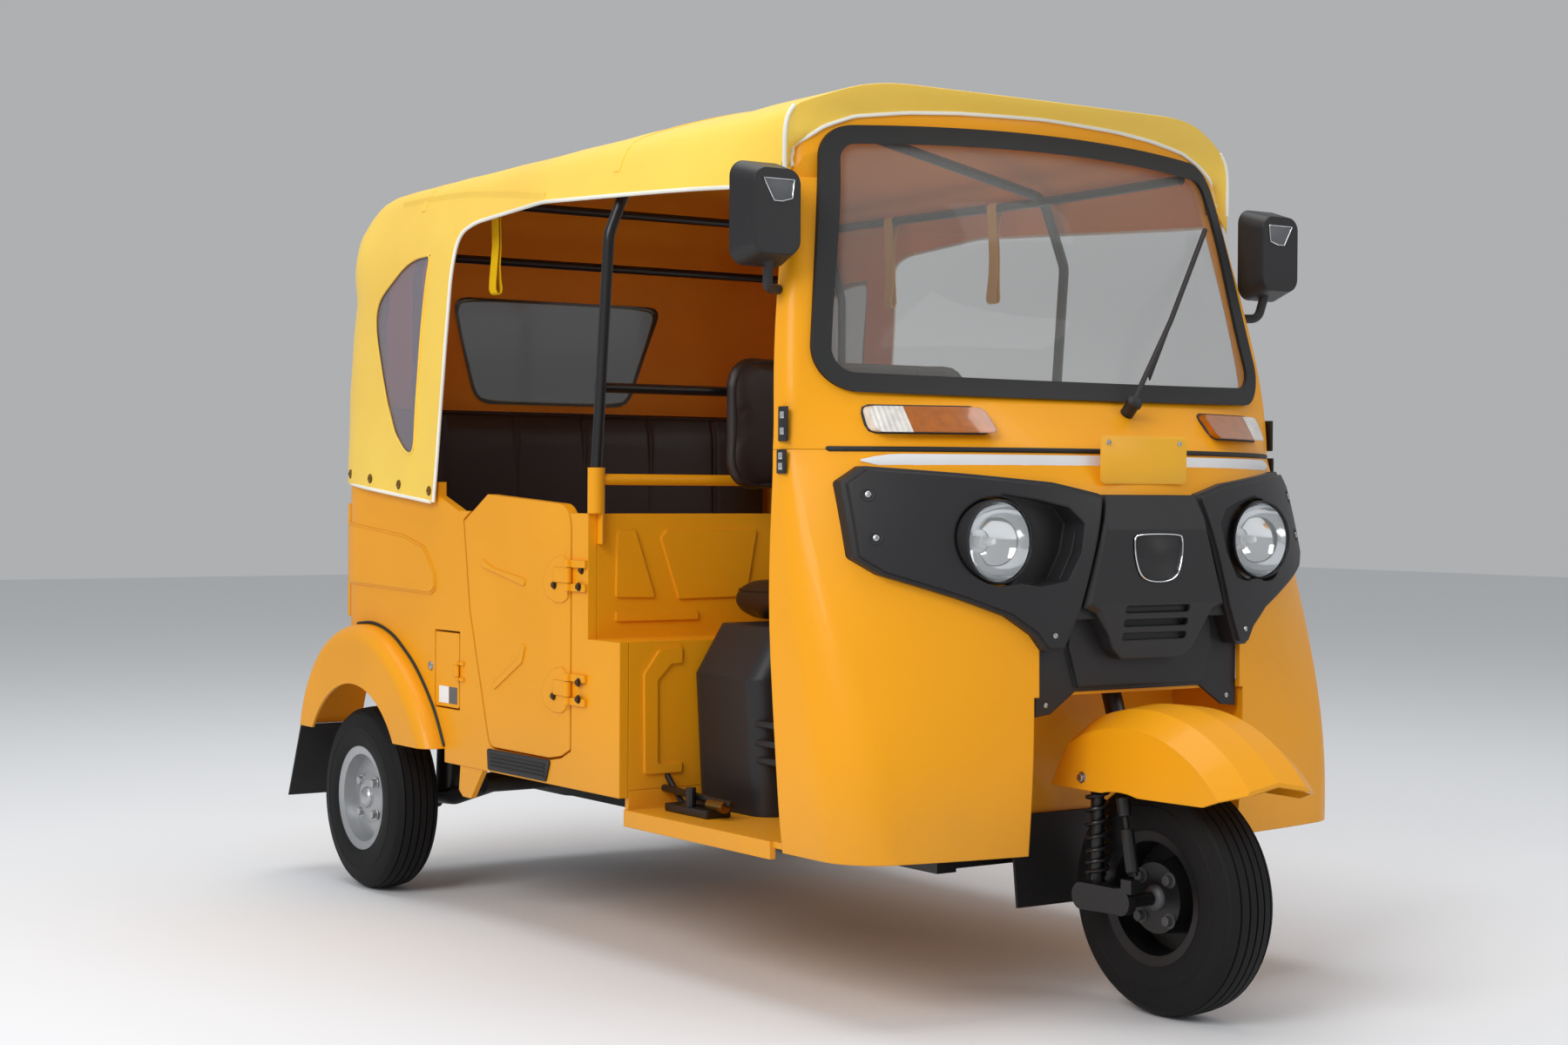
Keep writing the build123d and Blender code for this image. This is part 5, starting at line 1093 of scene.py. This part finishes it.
class RICKSHAW_OT_tyres(bpy.types.Operator):
    """Ribbed cross-ply tyres with bead lines on their walls"""

    bl_idname = "rickshaw.tyres"
    bl_label = "Tyres"

    def execute(self, context):
        depth = sizes().tread_depth
        for node_name, body in (("front_tyre", "front_wheel"), ("rear_right_tyre", "rear_wheel_right"),
                                ("rear_left_tyre", "rear_wheel_left")):
            low, high = box_of(node_name)
            centre = (low + high) / 2
            outer = (high.z - low.z) / 2
            bead = min(math.hypot(v.co.y - centre.y, v.co.z - centre.z) for v in CAD[node_name].data.vertices)
            half = [(bead, 0.0440), (bead + 0.006, 0.0475), (bead + 0.010, 0.0505), (bead + 0.0125, 0.0500),
                    (bead + 0.022, 0.0530), (bead + 0.040, 0.0558), (bead + 0.052, 0.0556),
                    (bead + 0.0535, 0.0566), (bead + 0.056, 0.0566), (bead + 0.0575, 0.0554),
                    (outer - 0.028, 0.0532), (outer - 0.020, 0.0510), (outer - 0.0185, 0.0515),
                    (outer - 0.0125, 0.0480), (outer - 0.0110, 0.0455), (outer - 0.0060, 0.0400)]
            # ribs and grooves: where the crown is measured, where the point lies, depth below the crown
            for x, foot, cut_in in ((0.0365, 0.0365, 0.0), (0.036, 0.0352, depth), (0.033, 0.0338, depth),
                                    (0.0325, 0.0325, 0.0), (0.0185, 0.0185, 0.0), (0.018, 0.0174, depth),
                                    (0.015, 0.0156, depth), (0.0145, 0.0145, 0.0), (0.0020, 0.0020, 0.0),
                                    (0.0, 0.0013, depth)):
                half.append((outer - 0.0042 * (x / 0.038) ** 2 - cut_in, foot))
            profile = [*half, *[(r, -x) for r, x in half[::-1]], (bead, 0.044)]
            ring = lathe(f"{node_name}_tread", profile, centre, axis="x", steps=96)
            smooth(ring, 28.0)
            dress(ring, ("tyre",), body)
            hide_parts(node_name)
        return {"FINISHED"}


class RICKSHAW_OT_wheel_fittings(bpy.types.Operator):
    """Wheel nuts and hub caps"""

    bl_idname = "rickshaw.wheel_fittings"
    bl_label = "Wheel fittings"

    def execute(self, context):
        for node_name, body, side in (("front_rim", "front_wheel", -1),
                                      ("rear_right_rim", "rear_wheel_right", -1),
                                      ("rear_left_rim", "rear_wheel_left", 1)):
            low, high = box_of(node_name)
            centre = (low + high) / 2
            outward = Vector((side, 0, 0))
            made = []
            for turn in range(4):
                t = math.radians(45 + 90 * turn)
                start = centre + Vector((side * 0.3, 0.050 * math.cos(t), 0.050 * math.sin(t)))
                spot, _ = cast((node_name,), start, -outward)
                made.append(hex_bolt(spot, outward, 0.017, 0.010))
            spot, _ = cast((node_name,), centre + Vector((side * 0.3, 0.026, 0.0)), -outward)
            profile = ((0.0, 0.012), (0.012, 0.0112), (0.020, 0.008), (0.024, 0.002), (0.0245, -0.001),
                       (0.0, -0.001))
            made.append(turned("cap", profile, Vector((spot.x, centre.y, centre.z)), outward, 32))
            fittings = joined(f"{node_name}_fittings", made)
            dress(fittings, ("cast" if node_name == "front_rim" else "steel",), body)
        return {"FINISHED"}


class RICKSHAW_OT_front_spring(bpy.types.Operator):
    """Coil spring round the leg and the damper with its rod and eyes"""

    bl_idname = "rickshaw.front_spring"
    bl_label = "Front spring"

    def execute(self, context):
        low, high = 0.2375, 0.4240
        turns, per_turn = 9, 12
        points = []
        for i in range(turns * per_turn + 1):
            t = math.tau * i / per_turn
            rise = i / (turns * per_turn)
            # the end coils lie closer together
            eased = rise - 0.035 * math.sin(math.tau * rise)
            points.append((-0.086 + 0.0195 * math.cos(t), -0.965 + 0.0195 * math.sin(t),
                           low + (high - low) * eased))
        coil = cord("coil", points, 0.0072, resolution=3, steps=3)
        foot, top = Vector((-0.104, -1.078, 0.252)), Vector((-0.104, -1.046, 0.398))
        profile = ((0.0, 0.0), (0.008, 0.0), (0.010, 0.006), (0.012, 0.008), (0.012, 0.080), (0.0105, 0.082),
                   (0.0052, 0.083), (0.0052, 0.104), (0.0115, 0.105), (0.0120, 0.108), (0.0120, 0.136),
                   (0.008, 0.140), (0.0, 0.1415))
        damper = turned("damper", profile, foot, top - foot, 32)
        spring = dress(joined("front_spring_and_damper", [coil, damper]), ("black_paint",), "steering")
        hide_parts("front_suspension")
        return {"FINISHED"}


class RICKSHAW_OT_straps(bpy.types.Operator):
    """Three webbing hand straps looped over the roof rails, each a closed band"""

    bl_idname = "rickshaw.straps"
    bl_label = "Hand straps"

    def execute(self, context):
        first = None
        for number, (x, y, low) in enumerate(((-0.514, 0.495, 1.335), (0.514, 0.059, 1.339),
                                              (0.514, 0.447, 1.352))):
            rail = 1.552 + (y + 0.099) * (0.009 / 0.839)
            points = []
            for degree in range(0, 181, 20):
                t = math.radians(degree)
                points.append(Vector((x + 0.0118 * math.cos(t), 0, rail + 0.0118 * math.sin(t))))
            run = ((rail - 0.03, 0.006), (rail - 0.06, 0.0025), (1.44, 0.0028), (low + 0.06, 0.0035),
                   (low + 0.03, 0.006), (low + 0.012, 0.008), (low + 0.003, 0.005))
            points += [Vector((x - gap, 0, z)) for z, gap in run]
            points.append(Vector((x, 0, low)))
            points += [Vector((x + gap, 0, z)) for z, gap in run[::-1]]
            points.append(points[0].copy())
            sway = [Vector((0.002 * math.sin(p.z * 40 + number), y + 0.003 * math.sin((rail - p.z) * 12), 0))
                    for p in points]
            points = [p + s for p, s in zip(points, sway)]
            band = ribbon(f"hand_strap_{number + 1}", points, [Vector((0, 1, 0))] * len(points), 0.030,
                          0.0018)
            dress(band, ("strap",))
            first = first or band
        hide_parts("hand_straps")
        return {"FINISHED"}


class RICKSHAW_OT_front_trim(bpy.types.Operator):
    """Front plate, bright strip, seam rubber, hinge strips, fascia screws and the bare badge"""

    bl_idname = "rickshaw.front_trim"
    bl_label = "Front trim"

    def execute(self, context):
        screws, posts = [], []
        corners = ((-0.097, 0.930), (0.097, 0.930), (0.103, 0.936), (0.103, 1.009), (0.097, 1.015),
                   (-0.097, 1.015), (-0.103, 1.009),
                   (-0.103, 0.936))
        plate = outline_plate("plate", [(x, -0.986, z) for x, z in corners], (0, 0.002, 0), 0.0006)
        for x in (-0.085, 0.085):
            screws.append(screw_head(Vector((x, -0.986, 1.003)), Vector((0, -1, 0)), 0.005))
            spot = on_front(COWL, x * 0.6, 1.003)
            posts.append(primitive("cylinder", "post", vertices=20, radius=0.005, depth=spot.y + 0.9835,
                                   location=(x * 0.6, (spot.y - 0.9835) / 2, 1.003),
                                   rotation=(math.pi / 2, 0, 0)))
        dress(plate, ("plate",))
        dress(joined("front_plate_posts", posts), ("black_paint",))
        strips = []
        for side in (-1, 1):
            line = [on_front(COWL, side * x / 1000, 0.968, 0.0022) for x in range(52, 512, 20)]
            widths = [0.023] * (len(line) - 3) + [0.021, 0.014, 0.003]
            strips.append(ribbon("strip", line, [Vector((0, 0, 1))] * len(line), widths, 0.0028))
        dress(joined("bright_strip", strips), ("white_strip",))
        seam_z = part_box("lower_cowl")[1][2]
        rubber = [cast(("lower_cowl",), (x, -1.6, seam_z - 0.003), (0, 1, 0))[0] + Vector((0, 0.002, 0.0045))
                  for x in [i * 0.03 for i in range(-18, 19)]]
        for side in (-1, 1):
            for degrees in (72, 56, 42, 28, 14, 0):
                away = Vector((side * math.cos(math.radians(degrees)), -math.sin(math.radians(degrees)), 0))
                centre = Vector((side * 0.50, -0.78, seam_z - 0.003))
                spot, _ = cast(("lower_cowl",), centre + away * 0.6, -away)
                spot = spot - away * 0.002 + Vector((0, 0, 0.0045))
                rubber.insert(0 if side < 0 else len(rubber), spot)
        dress(cord("seam_rubber", rubber, 0.010, resolution=4), ("rubber",))
        backs, squares = [], []
        for side in (-1, 1):
            for z0, z1, marks in ((0.944, 0.986, (0.957, 0.975)), (1.000, 1.061, (1.018, 1.046))):
                corners = []
                for y, z in ((-0.724, z0), (-0.698, z0), (-0.698, z1), (-0.724, z1)):
                    spot, _ = cast(COWL, (side * 1.2, y, z0 + 0.012), (-side, 0, 0))
                    corners.append(Vector((spot.x, y, z)))
                face = side * (max(abs(c.x) for c in corners) + 0.001)
                backs.append(outline_plate("back", [(face, c.y, c.z) for c in corners], (side * 0.005, 0, 0),
                                           0.0015))
                for z in marks:
                    mark = [(face + side * 0.0045, y, z + rise) for y, rise in
                            ((-0.717, -0.006), (-0.705, -0.006), (-0.705, 0.006), (-0.717, 0.006))]
                    squares.append(outline_plate("mark", mark, (side * 0.0016, 0, 0), 0.0005))
        dress(joined("hinge_strips", backs), ("trim",))
        dress(joined("hinge_strip_rivets", squares), ("chrome",))
        for side in (-1, 1):
            for x, z in ((0.507, 0.909), (0.506, 0.835)):
                spot, normal = cast(FASCIA, (side * x, -1.6, z), (0, 1, 0))
                profile = ((0.0085, -0.001), (0.0085, 0.0012), (0.012, 0.0014), (0.0135, 0.0),
                           (0.013, -0.001))
                cup = turned("cup", profile, spot, normal, 28)
                cup.name = f"fascia_screw_cup_{'r' if side < 0 else 'l'}_{round(z * 1000)}"
                dress(cup, ("rubber",))
                screws.append(screw_head(spot, normal, 0.006))
            for x, z in ((0.228, 0.668), (0.217, 0.545)):
                spot, normal = cast(FASCIA, (side * x, -1.6, z), (0, 1, 0))
                screws.append(screw_head(spot, normal, 0.005))
        dress(joined("front_screws", screws), ("steel",))
        backings = []
        for x0, x1, z0, z1 in ((-0.077, 0.077, 0.7035, 0.7165), (-0.186, -0.128, 0.694, 0.7165),
                               (0.128, 0.186, 0.694, 0.7165)):
            surface = min(cast(COWL, (x, -1.6, 0.708), (0, 1, 0))[0].y for x in (x0, (x0 + x1) / 2, x1))
            backings.append(outline_plate("backing", [(x0, surface - 0.0002, z0), (x1, surface - 0.0002, z0),
                                                      (x1, surface - 0.0002, z1), (x0, surface - 0.0002, z1)],
                                          (0, 0.012, 0)))
        dress(joined("fascia_backings", backings), ("trim",))
        badge = [(-0.050, 0.842), (0.050, 0.842), (0.058, 0.834), (0.056, 0.800), (0.045, 0.768),
                 (0.020, 0.758), (-0.020, 0.758), (-0.045, 0.768), (-0.056, 0.800), (-0.058, 0.834)]
        face = min(on_front(FASCIA, x, z).y for x, z in badge)
        lean = [(x, on_front(FASCIA, x, z).y - 0.0002, z) for x, z in badge]
        blank = outline_plate("badge_blank", lean, (0, -0.0022, 0), 0.0008)
        dress(blank, ("trim",))
        rim = cord("badge_rim", [(x, y - 0.0024, z) for x, y, z in lean], 0.0028, closed=True, resolution=6)
        dress(rim, ("chrome",))
        return {"FINISHED"}


def fender_seam(side):
    """Line on the tub's wall just outside the fender's outline, from over the wheel to the front foot."""
    points = []
    for degrees in range(100, 15, -6):
        t = math.radians(degrees)
        for step in range(90):
            reach = 0.520 - 0.002 * step
            y, z = REAR_AXLE[0] - reach * math.cos(t), REAR_AXLE[1] + reach * math.sin(t)
            if CAD["rear_fenders"].ray_cast(Vector((side * 1.2, y, z)), Vector((-side, 0, 0)))[0]:
                break
        reach += 0.005
        y, z = REAR_AXLE[0] - reach * math.cos(t), REAR_AXLE[1] + reach * math.sin(t)
        hit, spot, _, _ = CAD["rear_body"].ray_cast(Vector((side * 1.2, y, z)), Vector((-side, 0, 0)))
        if hit and abs(spot.x) > 0.5:
            points.append(spot + Vector((side * 0.0015, 0, 0)))
    return points


class RICKSHAW_OT_side_fittings(bpy.types.Operator):
    """Hinge bolts, fuel latch, fender beading, mudguard bolts, mirror glasses and wiper blade"""

    bl_idname = "rickshaw.side_fittings"
    bl_label = "Side fittings"

    def execute(self, context):
        for side, body in ((-1, "door_right_body"), (1, "door_left_body")):
            fixed, moving = [], []
            for y, z in ((0.074, 0.724), (0.075, 0.502)):
                spot, _ = cast(("door_right" if side < 0 else "door_left",), (side * 1.2, y, z),
                               (-side, 0, 0))
                moving.append(hex_bolt(spot, Vector((side, 0, 0)), 0.011, 0.005))
            for y, z in ((-0.030, 0.757), (-0.030, 0.724), (-0.030, 0.536), (-0.030, 0.503)):
                spot, _ = cast(("door_hinges", "rear_body"), (side * 1.2, y, z), (-side, 0, 0))
                fixed.append(hex_bolt(spot, Vector((side, 0, 0)), 0.011, 0.005))
            name = "right" if side < 0 else "left"
            dress(joined(f"door_bolts_{name}", moving), ("bronze",), body)
            dress(joined(f"hinge_bolts_{name}", fixed), ("bronze",))
            bead = fender_seam(side)
            dress(cord(f"fender_bead_{name}", bead, 0.007), ("rubber",))
            spot, _ = cast(("front_mudguard",), (side * 0.5, -0.965, 0.413), (-side, 0, 0))
            bolt = dress(hex_bolt(spot, Vector((side, 0, 0)), 0.013, 0.006), ("steel",), "steering")
            bolt.name = f"mudguard_bolt_{name}"
            middle = side * 0.612
            spot, _ = cast(("mirrors",), (middle, 0.0, 1.396), (0, -1, 0))
            glass = rounded_plate(f"mirror_glass_{name}", (middle, spot.y + 0.0002, 1.396), 0.112, 0.168,
                                  0.024, 0.0018)
            dress(glass, ("mirror",))
            face = [cast(("mirrors",), (middle + side * x, -1.2, z), (0, 1, 0))[0] for x, z in
                    ((0.030, 1.452), (-0.034, 1.452), (-0.030, 1.420), (-0.008, 1.414), (0.008, 1.414))]
            depth = min(p.y for p in face)
            patch = outline_plate(f"mirror_patch_{name}", [(p.x, depth - 0.0004, p.z) for p in face],
                                  (0, 0.004, 0), 0.0008)
            dress(patch, ("grey_patch",))
            rim = cord(f"mirror_patch_rim_{name}", [(p.x, depth - 0.0012, p.z) for p in face], 0.0025,
                       closed=True, order=2)
            dress(rim, ("chrome",))
        lid = cast(("fuel_lid",), (-1.2, 0.55, 0.47), (1, 0, 0))[0].x
        label = []
        for y0, y1 in ((0.503, 0.541), (0.543, 0.588)):
            label.append(outline_plate("label", [(lid, y0, 0.452), (lid, y1, 0.452), (lid, y1, 0.488),
                                                 (lid, y0, 0.488)],
                                       (-0.0006, 0, 0)))
        dress(label[0], ("grey_patch",), "fuel_lid_body").name = "fuel_lid_label_dark"
        dress(label[1], ("white_strip",), "fuel_lid_body").name = "fuel_lid_label_light"
        ribs = []
        for z in (0.477, 0.441, 0.408):
            wall = cast(("seat_pedestal",), (-1.2, -0.403, z), (1, 0, 0))[0].x
            ribs.append(outline_plate("rib", [(wall + 0.002, -0.466, z - 0.006),
                                              (wall + 0.002, -0.340, z - 0.006),
                                              (wall + 0.002, -0.345, z + 0.006),
                                              (wall + 0.002, -0.461, z + 0.006)],
                                      (-0.006, 0, 0), 0.0022))
        dress(joined("pedestal_ribs", ribs), ("trim",))
        floor = cast(("floor_pan",), (-0.50, -0.30, 0.5), (0, 0, -1))[0].z
        rods = []
        for start, end, radius in (((-0.500, -0.420, floor + 0.030), (-0.500, -0.180, floor + 0.038), 0.007),
                                   ((-0.515, -0.300, floor + 0.004), (-0.515, -0.300, floor + 0.052), 0.010),
                                   ((-0.492, -0.235, floor + 0.012), (-0.492, -0.165, floor + 0.072), 0.006),
                                   ((-0.484, -0.330, floor + 0.018), (-0.484, -0.250, floor + 0.018), 0.013)):
            rods.append(cord("rod", [start, Vector(start).lerp(Vector(end), 0.5), end], radius * 2, order=2))
        base = primitive("cube", "base", size=1.0, location=(-0.500, -0.300, floor + 0.008),
                         scale=(0.055, 0.150, 0.016))
        modify(base, "BEVEL", width=0.003, segments=2)
        rods.append(base)
        dress(joined("floor_linkage", rods), ("black_paint",))
        union = cord("floor_linkage_union", [(-0.505, -0.405, floor + 0.024), (-0.505, -0.385, floor + 0.024),
                                             (-0.505, -0.350, floor + 0.024)], 0.022, order=2)
        dress(union, ("brass",))
        rims = []
        for side in (-1, 1):
            flat = [Vector((v.co.x, v.co.z)) for v in CAD["turn_signals"].data.vertices if v.co.x * side > 0]
            outline = [flat[i] for i in geometry.convex_hull_2d(flat)]
            points = along_line([(p.x, 0.0, p.y) for p in outline + outline[:1]], 49)[:-1]
            rims.append(cord("rim", [on_front(COWL, p.x, p.z, 0.001) for p in points], 0.006, closed=True,
                             order=2,
                             resolution=1))
        dress(joined("turn_signal_rims", rims), ("rubber",))
        latch, _ = cast(("rear_body",), (-1.2, 0.628, 0.528), (1, 0, 0))
        profile = ((0.0, 0.006), (0.006, 0.0058), (0.009, 0.004), (0.010, 0.0), (0.0, -0.001))
        dress(turned("fuel_latch", profile, latch, Vector((-1, 0, 0)), 28), ("steel",))
        arm = [Vector((0.060, -0.889, 1.076)), Vector((0.235, -0.803, 1.240)), Vector((0.402, -0.722, 1.430))]
        blade = [arm[1].lerp(arm[2], t) + Vector((0.0, 0.004, -0.006)) for t in (-0.55, 0.0, 0.5, 1.0)]
        dress(ribbon("wiper_blade", blade, [Vector((0, 0.35, 1)).normalized()] * 4, 0.012, 0.004),
              ("rubber",))
        profile = ((0.0, 0.010), (0.010, 0.009), (0.015, 0.004), (0.0155, -0.003), (0.0, -0.003))
        cap = turned("wiper_cap", profile, Vector((0.060, -0.893, 1.0785)), Vector((0, -0.7, 0.7)), 28)
        dress(cap, ("trim",))
        return {"FINISHED"}


def rounded_plate(name, centre, width, height, corner, thick):
    """Upright plate with rounded corners that faces along Y, its near face at the centre."""
    x0, y0, z0 = centre
    points = []
    for cx, cz, start in ((1, 1, 0), (-1, 1, 90), (-1, -1, 180), (1, -1, 270)):
        for step in range(0, 91, 15):
            t = math.radians(start + step)
            points.append((x0 + cx * (width / 2 - corner) + corner * math.cos(t), y0,
                           z0 + cz * (height / 2 - corner) + corner * math.sin(t)))
    return outline_plate(name, points, (0, thick, 0))


class RICKSHAW_OT_frame_finishes(bpy.types.Operator):
    """Gives every rigid piece of the frame its paint, plastic, rubber or metal"""

    bl_idname = "rickshaw.frame_finishes"
    bl_label = "Frame finishes"

    def execute(self, context):
        for key, names in NODE_FINISHES.items():
            for name in names:
                materials = CAD[name].data.materials
                materials.clear()
                materials.append(finish(key))
        return {"FINISHED"}


class RICKSHAW_OT_stage(bpy.types.Operator):
    """Pale floor, soft studio light and the camera"""

    bl_idname = "rickshaw.stage"
    bl_label = "Stage"

    def execute(self, context):
        scene = context.scene
        scene.view_settings.view_transform = "Standard"
        world = bpy.data.worlds.new("studio")
        scene.world = world
        world.use_nodes = True
        tree = world.node_tree
        background = tree.nodes["Background"]
        background.inputs["Color"].default_value = linear("F4F6F8")
        background.inputs["Strength"].default_value = 0.47
        bpy.ops.mesh.primitive_plane_add(size=40.0, location=(0.0, 0.0, -0.001))
        floor = context.object
        floor.name = "studio_floor"
        mat, _ = shader("studio_floor", Base_Color=linear(colours().floor), Roughness=0.9)
        floor.data.materials.append(mat)
        # columns: name, place, size, power, target
        lamps = (
            ("key_softbox", (-6.0, -2.6, 4.6), 3.5, 245.0, (0.0, 0.0, 0.8)),
            ("fill_softbox", (3.0, -6.0, 3.5), 3.0, 55.0, (0.0, 0.0, 0.8)),
            ("top_softbox", (0.0, 0.5, 6.0), 5.0, 190.0, (0.0, 0.0, 0.8)),
        )
        for name, spot, size, power, target in lamps:
            data = bpy.data.lights.new(name, "AREA")
            data.size = size
            data.energy = power
            lamp = bpy.data.objects.new(name, data)
            scene.collection.objects.link(lamp)
            lamp.location = spot
            lamp.rotation_euler = (Vector(target) - Vector(spot)).to_track_quat("-Z", "Y").to_euler()
        # where the camera looks, and its focal length as a share of the picture's width
        focal = 2784.5 / 1800.0
        yaw, pitch, roll = math.radians(34.55), math.radians(-0.71), math.radians(0.34)
        forward = Vector((math.sin(yaw) * math.cos(pitch), math.cos(yaw) * math.cos(pitch), math.sin(pitch)))
        right = Vector((math.cos(yaw), -math.sin(yaw), 0.0))
        up = right.cross(forward)
        side = math.cos(roll) * right + math.sin(roll) * up
        top = -math.sin(roll) * right + math.cos(roll) * up
        data = bpy.data.cameras.new("camera")
        data.sensor_width = 36.0
        data.lens = focal * data.sensor_width
        data.clip_end = 100.0
        camera = bpy.data.objects.new("camera", data)
        scene.collection.objects.link(camera)
        turn = Matrix((side, top, -forward)).transposed().to_4x4()
        camera.matrix_world = Matrix.Translation((-2.9728, -4.1751, 0.9115)) @ turn
        scene.camera = camera
        return {"FINISHED"}


CLASSES = (RickshawColours, RickshawSizes, RICKSHAW_OT_stage, RICKSHAW_OT_frame_finishes, RICKSHAW_OT_canopy,
           RICKSHAW_OT_canopy_trim, RICKSHAW_OT_cushions, RICKSHAW_OT_headlamps, RICKSHAW_OT_tyres,
           RICKSHAW_OT_wheel_fittings, RICKSHAW_OT_front_spring, RICKSHAW_OT_straps, RICKSHAW_OT_front_trim,
           RICKSHAW_OT_side_fittings)


class RICKSHAW_PT_panel(bpy.types.Panel):
    """The pieces of the rickshaw, in the order they are made"""

    bl_idname = "RICKSHAW_PT_panel"
    bl_label = "Auto rickshaw"
    bl_space_type = "VIEW_3D"
    bl_region_type = "UI"
    bl_category = "Rickshaw"

    def draw(self, context):
        for cls in CLASSES[2:]:
            self.layout.operator(cls.bl_idname)


def register():
    """Registers the settings, operators and panel."""
    for cls in CLASSES + (RICKSHAW_PT_panel,):
        bpy.utils.register_class(cls)
    bpy.types.Scene.rickshaw_colours = bpy.props.PointerProperty(type=RickshawColours)
    bpy.types.Scene.rickshaw_sizes = bpy.props.PointerProperty(type=RickshawSizes)


def unregister():
    """Takes away what register added."""
    del bpy.types.Scene.rickshaw_sizes
    del bpy.types.Scene.rickshaw_colours
    for cls in reversed(CLASSES + (RICKSHAW_PT_panel,)):
        bpy.utils.unregister_class(cls)


def main():
    """Builds every piece in order."""
    register()
    bpy.ops.rickshaw.stage()
    bpy.ops.rickshaw.frame_finishes()
    for cls in CLASSES[4:]:
        family, call = cls.bl_idname.split(".")
        getattr(getattr(bpy.ops, family), call)()


if __name__ == "__main__":
    main()
